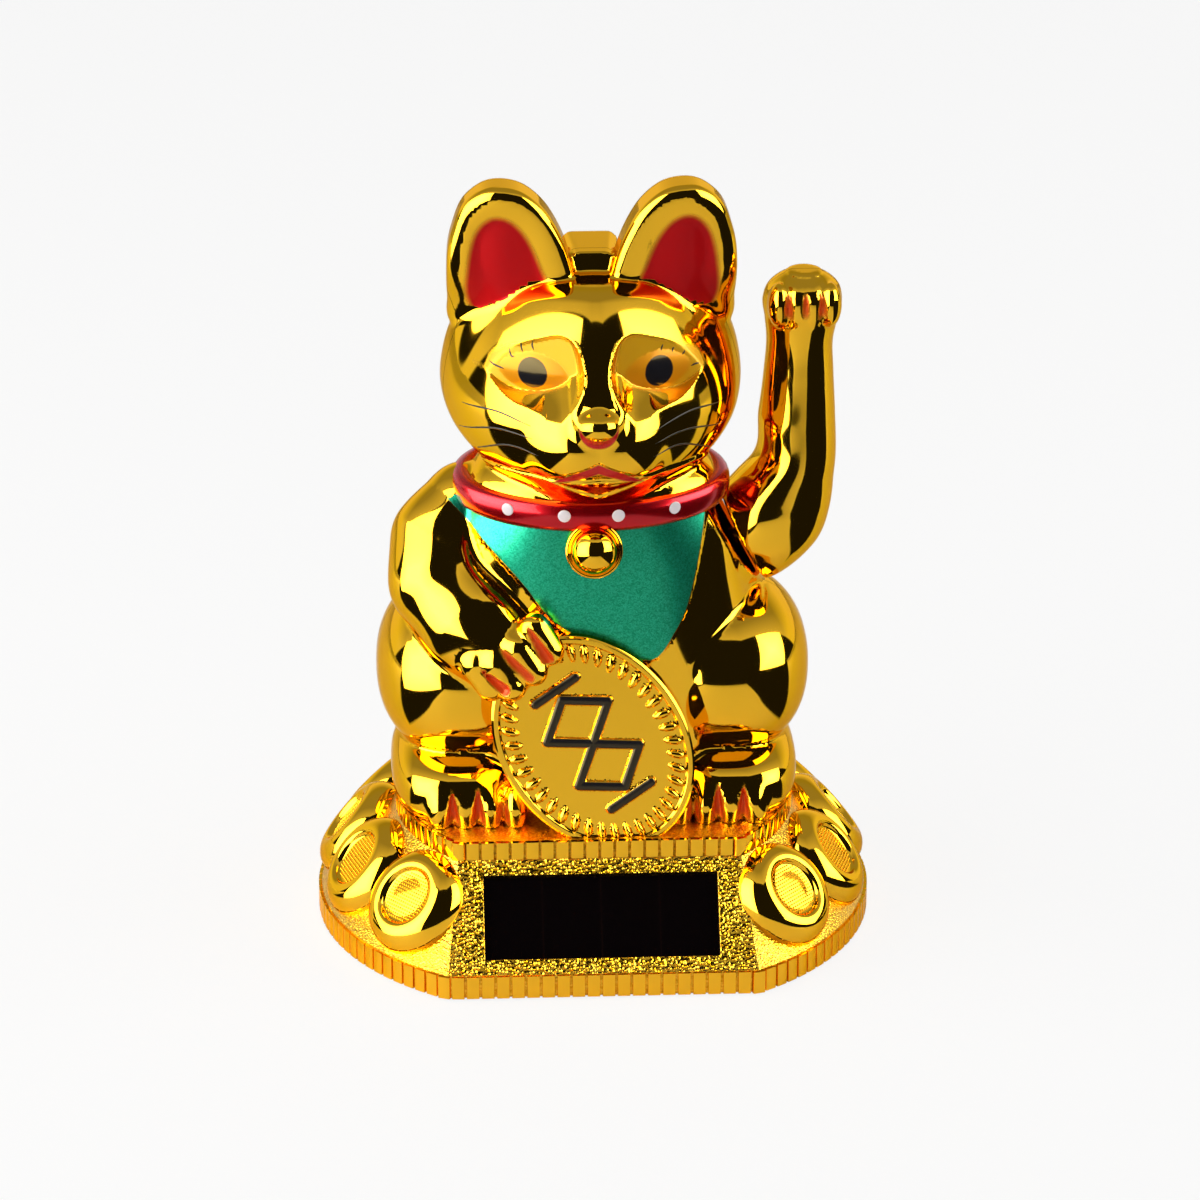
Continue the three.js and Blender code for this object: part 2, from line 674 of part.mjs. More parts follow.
// An ear is its outline swept from the front, where a dish lies inside a rounded rim, to the back.
function ear(side, grow, detail) {
  const curve = new THREE.SplineCurve(earOutline.map(([x, z]) => new THREE.Vector2(x, z)));
  const outline = curve.getPoints(detail.ear);
  const stations = grow === 0
    ? [[earFrontY + earDish, 0.5], [earFrontY + earDish * 0.7, 0.68], [earFrontY, 0.84],
      [earFrontY + 0.5, 0.94], [earFrontY + 1.5, 1], [earBackY - 4.2, 1], [earBackY - 1.6, 0.94],
      [earBackY, 0.7]]
    : [[earFrontY + earDish - grow, 0.84], [0, 0.84], [earBackY + grow, 0.66]];
  const [cx, cz] = earCentre;
  return loft(stations.map(([y, scale]) => outline.map((p) => {
    const x = cx + (p.x - cx) * scale;
    const turnedBack = y < earFrontY + 2 ? earTurnOut * Math.max(x - cx, 0) : 0;
    return new THREE.Vector3(side * x, y + turnedBack, cz + (p.y - cz) * scale);
  })));
}

function limb(stations, sides) {
  const path = new THREE.CatmullRomCurve3(stations.map(([x, y, z]) => new THREE.Vector3(x, y, z)));
  const steps = 6;
  const frames = path.computeFrenetFrames(steps);
  const radiusAt = (u) => {
    const place = u * (stations.length - 1);
    const i = Math.min(Math.floor(place), stations.length - 2);
    return THREE.MathUtils.lerp(stations[i][3], stations[i + 1][3], place - i);
  };
  const ringAt = (i, ahead, scale) => {
    const u = i / steps;
    const centre = path.getPoint(u).addScaledVector(frames.tangents[i], ahead * radiusAt(u));
    return around(sides, (t) => centre.clone()
      .addScaledVector(frames.normals[i], scale * radiusAt(u) * Math.cos(t))
      .addScaledVector(frames.binormals[i], scale * radiusAt(u) * Math.sin(t)));
  };
  const rings = [ringAt(0, -0.9, 0.44), ringAt(0, -0.6, 0.8)];
  for (let i = 0; i <= steps; i++) rings.push(ringAt(i, 0, 1));
  rings.push(ringAt(steps, 0.6, 0.8), ringAt(steps, 0.9, 0.44));
  return loft(rings);
}

const drawnIn = (radii, grow) => radii.map((radius) => radius + grow);
const mirrored = ([x, y, z], side) => [side * x, y, z];

// The body without its details.
function catForm(grow, detail) {
  const arm = holdingArm.map(([x, y, z, radius]) => [x, y, z, radius + grow]);
  const lump = (centre, radii) => ball(centre, drawnIn(radii, grow), detail.round);
  return join([
    torso(grow, detail), head(grow, detail), limb(arm, detail.limb),
    lump(shoulderCentre, shoulderRadii),
    ...bothSides((side) => ear(side, grow, detail)),
    ...bothSides((side) => pillow(mirrored(haunchCentre, side), drawnIn(haunchRadii, grow),
      haunchSquareness, detail.round)),
    ...bothSides((side) => pillow(mirrored(footCentre, side), drawnIn(footRadii, grow),
      footSquareness, detail.round)),
  ]).subtract(halfSpace(seamPlaneAt(grow - shoulderGap), seamOut).intersect(
    box([0, -farOut, armBottom - shoulderGap - grow], [farOut, farOut, shoulderTop + grow])));
}

// The block on the crown, between the ears: a steep front, a flat top, then down to the back.
function crown() {
  const foot = headCentre[2] + headRise * 0.5;
  const ringAt = (y, halfWidth, top) => [
    [-halfWidth, top - crownChamfer], [-halfWidth + crownChamfer, top], [halfWidth - crownChamfer, top],
    [halfWidth, top - crownChamfer], [halfWidth + crownChamfer, foot], [-halfWidth - crownChamfer, foot],
  ].map(([x, z]) => new THREE.Vector3(x, y, z));
  return loft([
    ringAt(crownFrontY, crownFrontHalfWidth, crownFrontTop), ringAt(crownEdgeY, crownHalfWidth, crownTop),
    ringAt(crownBackY - 1, crownHalfWidth, crownTop), ringAt(crownBackY, crownHalfWidth, foot + 2),
  ]);
}

function collar() {
  return loopSkin(around(28, (t) => {
    const x = collarHalfWidth * Math.cos(t);
    const y = collarHalfDepth * Math.sin(t);
    const out = new THREE.Vector3(x / collarHalfWidth ** 2, y / collarHalfDepth ** 2, 0).normalize();
    const centre = new THREE.Vector3(x, collarCentreY + y, collarCentreZ + collarTilt * y);
    return around(6, (s) => centre.clone()
      .addScaledVector(out, collarThickness * Math.cos(s))
      .add(new THREE.Vector3(0, 0, collarHalfHeight * Math.sin(s))));
  }));
}

function face() {
  return join([
    ball(noseCentre, [noseRadius, noseRadius, noseRadius], 12), ball(bridgeCentre, bridgeRadii, 10),
    ...bothSides((side) => ball(mirrored(muzzleCentre, side), muzzleRadii, 12)),
    ball(chinCentre, chinRadii, 12),
  ]);
}

// Coin parts are made lying in the plane of its face, x across and y up it, then leaned into place.
function onCoin(geometry) {
  geometry.rotateX(Math.PI / 2 - radians(coinLean));
  geometry.translate(0, coinFrontY, catBottom);
  return fromGeometry(geometry);
}

const coinAxis = new THREE.Vector2(Math.cos(radians(coinTurn)), Math.sin(radians(coinTurn)));
const coinAcross = new THREE.Vector2(-coinAxis.y, coinAxis.x);
const coinMiddle = new THREE.Vector2(
  coinCentre[0], (coinCentre[1] - catBottom) / Math.cos(radians(coinLean)));
const coinPoint = (along, across) => coinMiddle.clone()
  .addScaledVector(coinAxis, along).addScaledVector(coinAcross, across);

// A raised bar on the coin's face between two places given along and across its long axis.
function stroke([a0, b0], [a1, b1]) {
  const [from, to] = [coinPoint(a0, b0), coinPoint(a1, b1)];
  const geometry = new THREE.BoxGeometry(from.distanceTo(to) + strokeWidth, strokeWidth, 2 * strokeHeight);
  geometry.rotateZ(Math.atan2(to.y - from.y, to.x - from.x));
  geometry.translate((from.x + to.x) / 2, (from.y + to.y) / 2, 0);
  return onCoin(geometry);
}

function lozenge(along) {
  const corners = [[along - lozengeHalfLength, 0], [along, lozengeHalfWidth],
    [along + lozengeHalfLength, 0], [along, -lozengeHalfWidth]];
  return corners.map((corner, i) => stroke(corner, corners[(i + 1) % 4]));
}

// The plate with its rim: a smooth border, then a row of raised ribs, then the flat field.
function coinPlate() {
  const meanRadius = (coinHalfLength + coinHalfWidth) / 2 - coinRibInset - coinRibLength / 2;
  const ribCount = Math.round((2 * Math.PI * meanRadius) / coinRibPitch);
  const ringAt = (inset, height, ribHeight = 0) => around(2 * ribCount, (t) => {
    const place = coinPoint((coinHalfLength - inset) * Math.cos(t), (coinHalfWidth - inset) * Math.sin(t));
    const onRib = Math.cos(ribCount * t) > 0;
    return new THREE.Vector3(place.x, place.y, height + (onRib ? ribHeight : 0));
  });
  const rings = [
    ringAt(0, -coinThickness), ringAt(0, 0), ringAt(coinRibInset, 0),
    ringAt(coinRibInset + coinRibLength / 2, 0, coinRibHeight), ringAt(coinRibInset + coinRibLength, 0),
  ];
  const lean = new THREE.Matrix4().makeRotationX(Math.PI / 2 - radians(coinLean));
  lean.setPosition(0, coinFrontY, catBottom);
  rings.flat().forEach((point) => point.applyMatrix4(lean));
  return loft(rings);
}

function coin() {
  const step = lozengeHalfLength * 2;
  const endBar = step + endBarGap;
  return join([
    coinPlate(), ...lozenge(-lozengeHalfLength), ...lozenge(lozengeHalfLength),
    ...bothSides((side) => stroke([side * endBar, -endBarHalf], [side * endBar, endBarHalf])),
  ]);
}

function toes() {
  return [
    ...holdingToes.map((centre) => ball(centre, holdingToeRadii, 8)),
    ...bothSides((side) => footToeX.map((x) => ball(
      [side * x, footCentre[1] - footRadii[1] * footToeForward, catBottom + footToeRadii[2] * 0.7],
      footToeRadii, 8))).flat(),
  ];
}

// The axle runs from behind the far bearing web to inside the arm.
const webGap = seatGap + webThickness / 2;
const webX = bothSides((side) => pendulumX + side * (sleeveLength / 2 + webGap));
const axleStart = webX[0] - webThickness / 2 - 1.5;
const axleEnd = shoulderSeamX + axleIntoArm;

function catShells() {
  const bell = ball(bellCentre, [bellRadius, bellRadius, bellRadius], 14);
  const outside = join([catForm(0, outerDetail), collar(), face(), bell, coin(), crown(), ...toes()]);
  const hollow = catForm(-catWall, innerDetail);
  const core = catForm(-catWall / 2, innerDetail);
  const webs = webX.map((x) => box(
    [x - webThickness / 2, -farOut, axleHeight - webHalfHeight],
    [x + webThickness / 2, farOut, axleHeight + webHalfHeight]));
  const bosses = catScrews.flatMap(([x, y]) => [
    post(x, y, catBottom, catBottom + catBossHeight, screwRadius + bossWall, 16),
    box([x - catRib / 2, Math.min(y, 0) * 4, catBottom],
      [x + catRib / 2, Math.max(y, 0) * 4, catBottom + catBossHeight]),
  ]);
  const inside = join([...webs, ...bosses]).intersect(core);
  const whole = cut(outside.subtract(hollow).add(inside), [
    rod(axleStart - 1, farOut, 0, axleHeight, axleRadius + runningGap, 16),
    ...catScrews.map((place) => screwHole(place, 0, plinthUnderside + catScrewLength + 0.5)),
  ]);
  return whole.intersect(box([-farOut, -farOut, catBottom], [farOut, farOut, farOut]));
}

const frontOf = (piece) => piece.intersect(box([-farOut, -farOut, -farOut], [farOut, -seamGap / 2, farOut]));
const backOf = (piece) => piece.intersect(box([-farOut, seamGap / 2, -farOut], [farOut, farOut, farOut]));

// Waving arm

function armForm(grow) {
  const rings = armSections.map(([over, left, right, depth], i) => around(20, (t) => new THREE.Vector3(
    (left + right) / 2 + ((right - left) / 2 + grow) * Math.cos(t), (depth + grow) * Math.sin(t),
    axleHeight + (i < armFootSections ? over - grow : over))));
  const start = new THREE.Vector3(armEnds[0], 0, armBottom - grow);
  const end = new THREE.Vector3(armEnds[1], 0, armTop + grow);
  const usable = grow === 0 ? rings : rings.slice(1, -1);
  return loft(usable, start, end)
    .intersect(halfSpace(seamPlaneAt(-grow), seamOut));
}

function armShell() {
  const toeRow = pawToeX.map((x) => ball([x, pawToeY, pawToeZ], pawToeRadii, 8));
  const hub = rod(shoulderSeamX - armHubReach, axleEnd + armHubEnd, 0, axleHeight, armHubRadius, 16)
    .intersect(armForm(-armWall / 2));
  const bore = rod(shoulderSeamX - 1.5 * armHubReach, axleEnd + seatGap, 0, axleHeight,
    axleRadius + runningGap, 16);
  return join([armForm(0), ...toeRow]).subtract(armForm(-armWall)).add(hub).subtract(bore);
}

// Pendulum

function makeLever() {
  const holderBottom = magnetBottom + magnetThickness / 3;
  const holderRadius = magnetRadius + seatGap + magnetHolderWall;
  const holderTop = magnetTop + seatGap + magnetHolderTop;
  const sleeve = rod(pendulumX - sleeveLength / 2, pendulumX + sleeveLength / 2, 0, axleHeight,
    sleeveRadius, 20);
  const stem = box([pendulumX - leverWidth / 2, -leverDepth / 2, holderTop - 0.5],
    [pendulumX + leverWidth / 2, leverDepth / 2, axleHeight]);
  const holder = post(pendulumX, 0, holderBottom, holderTop, holderRadius);
  return cut(join([sleeve, stem, holder]), [
    post(pendulumX, 0, holderBottom - 1, magnetTop + seatGap, magnetRadius + seatGap),
    rod(pendulumX - sleeveLength, pendulumX + sleeveLength, 0, axleHeight, axleRadius + runningGap, 16),
  ]);
}

// Finishes

const finish = (color, roughness, metalness) => new THREE.MeshStandardMaterial(
  { color, roughness, metalness });
const goldPlate = finish('#e0a800', 0.12, 1);
const goldBase = finish('#d8a400', 0.3, 1);
const blackPlastic = finish('#1c1c1e', 0.5, 0);
const whitePlastic = finish('#e6e4dc', 0.5, 0);
const steel = finish('#b9bcc0', 0.3, 1);
const magnetNickel = finish('#c9cbd0', 0.2, 1);
const cellGlass = finish('#120a0a', 0.08, 0);
const boardGreen = finish('#23643a', 0.5, 0);
const copper = finish('#b06a38', 0.35, 1);
const sleeveBlue = finish('#26335c', 0.4, 0);
const redWire = finish('#b3202a', 0.5, 0);
const blackWire = finish('#17181a', 0.5, 0);

// Assembly

const cat = catShells();
const arm = armShell();
const figurine = new THREE.Group();
figurine.name = 'beckoning_cat';

function add(group, name, piece, material) {
  const mesh = new THREE.Mesh(toGeometry(piece), material);
  mesh.name = name;
  group.add(mesh);
}

const base = new THREE.Group();
add(base, 'base_cover', makeBaseCover(), goldBase);
add(base, 'bottom_plate', makeBottomPlate(), goldBase);
add(base, 'solar_cell', makeCell(), cellGlass);
add(base, 'circuit_board', makeBoard(), boardGreen);
add(base, 'coil_bobbin', makeBobbin(), whitePlastic);
add(base, 'drive_coil', makeCoil(), copper);
add(base, 'capacitor', makeCapacitor(), sleeveBlue);
add(base, 'transistor', makeTransistor(), blackPlastic);
add(base, 'lead_red', makeLead(leadRedX), redWire);
add(base, 'lead_black', makeLead(leadBlackX), blackWire);
plateScrews.forEach((place, i) => add(base, `plate_screw_${i + 1}`,
  screw(place, plateSeat, plateScrewLength), steel));
catScrews.forEach((place, i) => add(base, `cat_screw_${i + 1}`,
  screw(place, plinthUnderside - seatGap, catScrewLength), steel));
boardScrews.forEach((place, i) => add(base, `board_screw_${i + 1}`, makeBoardScrew(place), steel));

const body = new THREE.Group();
add(body, 'cat_front_shell', frontOf(cat), goldPlate);
add(body, 'cat_back_shell', backOf(cat), goldPlate);

const swinging = new THREE.Group();
add(swinging, 'arm_front_half', frontOf(arm), goldPlate);
add(swinging, 'arm_back_half', backOf(arm), goldPlate);
add(swinging, 'arm_axle', rod(axleStart, axleEnd, 0, axleHeight, axleRadius, 16), steel);
add(swinging, 'pendulum', makeLever(), whitePlastic);
add(swinging, 'magnet', post(pendulumX, 0, magnetBottom, magnetTop, magnetRadius), magnetNickel);

figurine.add(base, body, swinging);

export default figurine;
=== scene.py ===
# %% [markdown]
# # A beckoning cat on a solar base
# The real object is injection moulded ABS. Each shell is lacquered, plated with a film of aluminium in a
# vacuum chamber, and lacquered again in clear yellow, which makes it look like polished gold. Then the ears,
# collar, bib, claws and eyes are painted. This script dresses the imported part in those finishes. It works in
# millimetres and turns to metres only where a mesh is made.

# %% The frame
import json
import math

import bmesh
import bpy
import numpy as np
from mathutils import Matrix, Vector


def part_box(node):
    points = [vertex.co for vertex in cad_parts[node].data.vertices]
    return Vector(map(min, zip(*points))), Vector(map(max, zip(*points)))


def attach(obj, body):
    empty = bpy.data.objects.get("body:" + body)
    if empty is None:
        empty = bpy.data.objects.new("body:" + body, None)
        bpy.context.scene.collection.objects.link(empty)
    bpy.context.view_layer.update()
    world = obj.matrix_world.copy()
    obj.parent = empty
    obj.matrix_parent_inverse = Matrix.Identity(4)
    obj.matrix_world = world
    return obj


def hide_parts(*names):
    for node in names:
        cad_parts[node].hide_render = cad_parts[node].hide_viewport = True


MM = 0.001
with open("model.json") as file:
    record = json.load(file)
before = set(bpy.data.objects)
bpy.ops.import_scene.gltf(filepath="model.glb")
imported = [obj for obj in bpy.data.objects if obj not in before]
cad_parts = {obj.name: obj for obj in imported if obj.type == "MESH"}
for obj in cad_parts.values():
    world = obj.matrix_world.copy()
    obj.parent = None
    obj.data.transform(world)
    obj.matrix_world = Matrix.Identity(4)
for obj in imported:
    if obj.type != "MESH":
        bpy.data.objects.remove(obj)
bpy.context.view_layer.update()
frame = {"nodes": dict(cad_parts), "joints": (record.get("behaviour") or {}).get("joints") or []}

# %% [markdown]
# ## Helpers for meshes
# Most pieces here are made from points and faces worked out with numpy. One helper turns those into a Blender
# mesh.

# %% Mesh helpers
def in_scene(name, data):
    thing = bpy.data.objects.new(name, data)
    bpy.context.scene.collection.objects.link(thing)
    return thing


def new_piece(name, points, faces, material, smooth=True):
    mesh = bpy.data.meshes.new(name)
    mesh.from_pydata((np.asarray(points) * MM).tolist(), [], [list(map(int, f)) for f in faces])
    mesh.materials.append(material)
    mesh.polygons.foreach_set("use_smooth", [smooth] * len(mesh.polygons))
    mesh.update()
    return in_scene(name, mesh)


def gathered(parts):
    """Makes one set of points and faces of several."""
    points, faces, count = [], [], 0
    for part_points, part_faces in parts:
        faces += [tuple(i + count for i in face) for face in part_faces]
        points.append(part_points)
        count += len(part_points)
    return np.vstack(points), faces


# %% Finished meshes
def keep_result(piece):
    """Swaps a piece with live modifiers for the plain mesh that they make."""
    bpy.context.view_layer.update()
    seen = piece.evaluated_get(bpy.context.evaluated_depsgraph_get())
    mesh = bpy.data.meshes.new_from_object(seen, preserve_all_data_layers=True,
                                           depsgraph=bpy.context.evaluated_depsgraph_get())
    mesh.name = piece.name
    piece.modifiers.clear()
    piece.data = mesh
    return piece


def sharpen(piece, degrees):
    """Smooth shading, with hard edges where faces meet at more than that angle."""
    piece.data.polygons.foreach_set("use_smooth", [True] * len(piece.data.polygons))
    piece.data.set_sharp_from_angle(angle=math.radians(degrees))


def reworked(piece, change):
    """Lets change work on the piece's points, edges and faces."""
    work = bmesh.new()
    work.from_mesh(piece.data)
    change(work)
    work.to_mesh(piece.data)
    work.free()


SAME_POINT = 1e-7


def face_outwards(piece):
    def change(work):
        bmesh.ops.remove_doubles(work, verts=work.verts, dist=SAME_POINT)
        bmesh.ops.recalc_face_normals(work, faces=work.faces)
    reworked(piece, change)


# %% [markdown]
# ## Helpers for materials
# A colour is written as the hex value that one would pick from a picture, and turned to the linear values
# that the renderer works in. One function adds a node, sets it and links it.

# %% Material helpers
def linear(code):
    parts = [int(code[i:i + 2], 16) / 255 for i in (1, 3, 5)]
    return [c / 12.92 if c <= 0.04045 else ((c + 0.055) / 1.055) ** 2.4 for c in parts] + [1.0]


def put(tree, kind, inputs=None, **settings):
    """Adds a node. Each input is a value, or another node's socket to link from."""
    node = tree.nodes.new(kind)
    for key, value in settings.items():
        setattr(node, key, value)
    for key, value in (inputs or {}).items():
        if isinstance(value, bpy.types.NodeSocket):
            tree.links.new(value, node.inputs[key])
        else:
            node.inputs[key].default_value = value
    return node


def new_material(name, **values):
    """A material with one Principled shader, its steady values set on the shader's own sockets."""
    material = bpy.data.materials.new(name)
    material.use_nodes = True
    shader = material.node_tree.nodes["Principled BSDF"]
    for key, value in values.items():
        shader.inputs[key.replace("_", " ")].default_value = value
    return material, material.node_tree, shader


# %% Colours and numbers in a material
def place_of(tree):
    return put(tree, "ShaderNodeTexCoord").outputs["Object"]


def ramp_between(tree, value, low, high, smooth=False):
    """0 below low and 1 above high."""
    return put(tree, "ShaderNodeMapRange", {"Value": value, "From Min": low, "From Max": high},
               interpolation_type="SMOOTHSTEP" if smooth else "LINEAR").outputs["Result"]


def mixed(tree, factor, first, second):
    return put(tree, "ShaderNodeMix", {"Factor": factor, 6: first, 7: second}, data_type="RGBA").outputs[2]


def mixed_value(tree, factor, first, second):
    return put(tree, "ShaderNodeMix", {"Factor": factor, 2: first, 3: second}).outputs[0]


def sums(tree, operation, a, b=0.0):
    return put(tree, "ShaderNodeMath", {0: a, 1: b}, operation=operation).outputs[0]


# %% Uneven gloss and bumps
def noise_at(tree, size_mm, detail):
    return put(tree, "ShaderNodeTexNoise", {"Vector": place_of(tree), "Scale": 1 / (size_mm * MM),
                                            "Detail": detail}).outputs["Fac"]


def uneven_gloss(tree, shader, pattern, low, high):
    """Lets the roughness wander between two values."""
    spread = put(tree, "ShaderNodeMapRange", {"Value": pattern, "To Min": low, "To Max": high})
    tree.links.new(spread.outputs["Result"], shader.inputs["Roughness"])


def bumped(tree, shader, height, depth_mm, strength=1.0):
    bump = put(tree, "ShaderNodeBump", {"Height": height, "Distance": depth_mm * MM, "Strength": strength})
    tree.links.new(bump.outputs["Normal"], shader.inputs["Normal"])


# %% [markdown]
# ## Camera
# The photograph is a long-lens picture: upright edges stay parallel and the top of the base shows. The camera
# stands 0.8 m away, 22 degrees up and almost straight in front, and looks a little under the cat's middle.

# %% Camera
TARGET = Vector((1.2, 0, 45.6)) * MM
CAMERA_AZIMUTH = -2.7
CAMERA_ELEVATION = 22.1
CAMERA_DISTANCE = 0.8
FOCAL_LENGTH = 166.95


def direction(azimuth, elevation):
    """The way to a place seen from the object: azimuth 0 is straight in front, and turns to the right."""
    a, e = math.radians(azimuth), math.radians(elevation)
    return Vector((math.sin(a) * math.cos(e), -math.cos(a) * math.cos(e), math.sin(e)))


def aim(thing, place, target):
    thing.location = place
    thing.rotation_euler = (target - place).to_track_quat("-Z", "Y").to_euler()


lens = bpy.data.cameras.new("camera")
lens.lens = FOCAL_LENGTH
lens.sensor_width = 36
lens.clip_end = 20
camera = in_scene("camera", lens)
aim(camera, TARGET + direction(CAMERA_AZIMUTH, CAMERA_ELEVATION) * CAMERA_DISTANCE, TARGET)
bpy.context.scene.camera = camera
bpy.context.scene.view_settings.view_transform = "Standard"
print("camera at", [round(v, 3) for v in camera.location])

# %% [markdown]
# ## Forms as fields
# The cat is one smooth skin with soft creases, and it is as shiny as a mirror, so any flat facet would show.
# Joining plain meshes gives hard cuts, and sculpting can't be repeated. So the forms are written as distance
# fields: functions that say how far a point is from a surface, negative inside. Two fields join with their
# minimum, and a rounded minimum leaves a small fillet, as a mould has.

# %% Field helpers
def joined(a, b, fillet):
    h = np.maximum(fillet - np.abs(a - b), 0) / fillet
    return np.minimum(a, b) - h * h * fillet / 4


def both(a, b, edge):
    return -joined(-a, -b, edge)


def carved(a, b, edge):
    return -joined(-a, b, edge)


def blob(p, centre, radii, power=2.0):
    """A ball with its own radius along each axis. A power over 2 makes it boxier."""
    q = np.abs(p - np.asarray(centre, float)) / np.asarray(radii, float)
    g = np.maximum(np.sum(q ** power, axis=-1), 1e-9) ** (1 / power)
    slope = np.sqrt(np.sum(((q / g[..., None]) ** (power - 1) / radii) ** 2, axis=-1))
    return (g - 1) / np.maximum(slope, 1e-3)


def taper(p, start, end, radius_1, radius_2, flat=(1, 1, 1)):
    """A round bar between two points, with a radius at each end. flat squeezes it along an axis."""
    scale = 1 / np.asarray(flat, float)
    a, b, q = np.asarray(start, float) * scale, np.asarray(end, float) * scale, p * scale
    along = b - a
    t = np.clip(((q - a) @ along) / (along @ along), 0, 1)
    return (np.linalg.norm(q - a - t[..., None] * along, axis=-1) - radius_1 - t * (radius_2 - radius_1))


def limb(p, stations, blend):
    """A chain of round bars through x, y, z, radius."""
    d = None
    for s, e in zip(stations[:-1], stations[1:]):
        bar = taper(p, s[:3], e[:3], s[3], e[3])
        d = bar if d is None else joined(d, bar, blend)
    return d


# %% Steps, curves and outlines
def smooth_between(x, low, high):
    t = np.clip((x - low) / (high - low), 0, 1)
    return t * t * (3 - 2 * t)


def curve_through(points, steps, closed=False):
    """A Catmull-Rom curve through points, with so many steps from each to the next."""
    pts = np.asarray(points, float)
    if closed:
        pts = np.vstack([pts[-1], pts, pts[0], pts[1]])
    else:
        pts = np.vstack([2 * pts[0] - pts[1], pts, 2 * pts[-1] - pts[-2]])
    t = np.linspace(0, 1, steps, endpoint=False)[:, None]
    parts = []
    for a, b, c, d in zip(pts, pts[1:], pts[2:], pts[3:]):
        parts.append(0.5 * (2 * b + (c - a) * t + (2 * a - 5 * b + 4 * c - d) * t ** 2
                            + (3 * b - a - 3 * c + d) * t ** 3))
    if not closed:
        parts.append(pts[-2][None])
    return np.vstack(parts)


def inside_outline(x, z, outline):
    """Distance into a flat outline, negative outside."""
    gap = np.full(x.shape, np.inf)
    crossings = np.zeros(x.shape, bool)
    for (x0, z0), (x1, z1) in zip(outline, np.roll(outline, -1, axis=0)):
        ex, ez = x1 - x0, z1 - z0
        t = np.clip(((x - x0) * ex + (z - z0) * ez) / (ex * ex + ez * ez + 1e-12), 0, 1)
        gap = np.minimum(gap, np.hypot(x - x0 - t * ex, z - z0 - t * ez))
        if z0 != z1:
            spans = (z0 > z) != (z1 > z)
            crossings ^= spans & (x < x0 + (z - z0) * ex / ez)
    return np.where(crossings, gap, -gap)


# %% [markdown]
# ## From field to skin
# Surface nets put one point in each small cell that the surface passes through, and join neighbouring cells
# with four-sided faces. Each point is then moved onto the surface along the field's slope, and evened out, so
# the skin has no steps in it. Only cells near the surface are worked out, which keeps it quick.

# %% Surface nets
CELL = 0.58


def slope_of(field, p, step=0.02):
    ways = np.eye(3) * step
    return np.stack([field(p + w) - field(p - w) for w in ways], axis=-1) / (2 * step)


def settle(field, p, rounds, reach):
    for _ in range(rounds):
        g = slope_of(field, p)
        move = -g * (field(p) / np.maximum(np.sum(g * g, axis=-1), 0.05))[:, None]
        length = np.maximum(np.linalg.norm(move, axis=1, keepdims=True), 1e-12)
        p = p + move * np.minimum(1, reach / length)
    return p


# %% A field on a grid
def field_on_grid(field, low, counts, cell, block=4):
    """Values at the grid's points, exact only in the blocks that the surface comes near."""
    blocks = counts // block
    axes = [low[k] + np.arange(blocks[k] + 1) * cell * block for k in range(3)]
    corners = np.stack(np.meshgrid(*axes, indexing="ij"), axis=-1)
    coarse = field(corners.reshape(-1, 3)).reshape(corners.shape[:3])
    near = np.abs(coarse) < 2.2 * block * cell
    busy = np.zeros(blocks, bool)
    for i in (0, 1):
        for j in (0, 1):
            for k in (0, 1):
                busy |= near[i:i + blocks[0], j:j + blocks[1], k:k + blocks[2]]
    values = coarse[:-1, :-1, :-1]
    for axis in range(3):
        values = np.repeat(values, block, axis=axis)
    start = np.argwhere(busy) * block
    steps = np.stack(np.meshgrid(*[np.arange(block)] * 3, indexing="ij"), axis=-1).reshape(-1, 3)
    cells = (start[:, None] + steps[None]).reshape(-1, 3)
    for part in np.array_split(cells, max(1, len(cells) // 400000)):
        values[tuple(part.T)] = field(low + part * cell)
    return values


# %% From grid to skin
def skin(field, low, high, cell):
    low = np.asarray(low, float)
    counts = (np.ceil((np.asarray(high) - low) / (cell * 4)).astype(int)) * 4
    v = field_on_grid(field, low, counts, cell)
    inside = v < 0
    corner = [np.array(c) for c in np.ndindex(2, 2, 2)]
    size = np.array(v.shape) - 1

    def at(array, c):
        return array[c[0]:c[0] + size[0], c[1]:c[1] + size[1], c[2]:c[2] + size[2]]

    filled = sum(at(inside, c).astype(np.int8) for c in corner)
    mixed_cells = (filled > 0) & (filled < 8)
    cells = np.argwhere(mixed_cells)
    number = np.full(mixed_cells.shape, -1)
    number[mixed_cells] = np.arange(len(cells))
    total, hits = np.zeros((len(cells), 3)), np.zeros(len(cells))
    for a in corner:
        for axis in range(3):
            if a[axis]:
                continue
            b = a + np.eye(3, dtype=int)[axis]
            va, vb = at(v, a)[mixed_cells], at(v, b)[mixed_cells]
            crossing = (va < 0) != (vb < 0)
            t = np.where(crossing, va / np.where(crossing, va - vb, 1), 0)
            total += (a + t[:, None] * (b - a)) * crossing[:, None]
            hits += crossing
    points = low + (cells + total / hits[:, None]) * cell
    quads = []
    for axis in range(3):
        u, w = [(1, 2), (2, 0), (0, 1)][axis]
        cut_a, cut_b = [slice(1, -1)] * 3, [slice(1, -1)] * 3
        cut_a[axis], cut_b[axis] = slice(0, -1), slice(1, None)
        first, second = inside[tuple(cut_a)], inside[tuple(cut_b)]
        for leaving in (True, False):
            spot = np.argwhere((first != second) & (first == leaving))
            spot[:, u] += 1
            spot[:, w] += 1
            ring = []
            for du, dw in ((-1, -1), (0, -1), (0, 0), (-1, 0)):
                s = spot.copy()
                s[:, u] += du
                s[:, w] += dw
                ring.append(number[tuple(s.T)])
            quad = np.stack(ring, axis=1)
            quads.append(quad if leaving else quad[:, ::-1])
    quads = np.vstack(quads)
    points = settle(field, points, 2, cell / 2)
    for _ in range(3):
        points = settle(field, evened(points, quads), 1, cell / 2)
    return points, quads


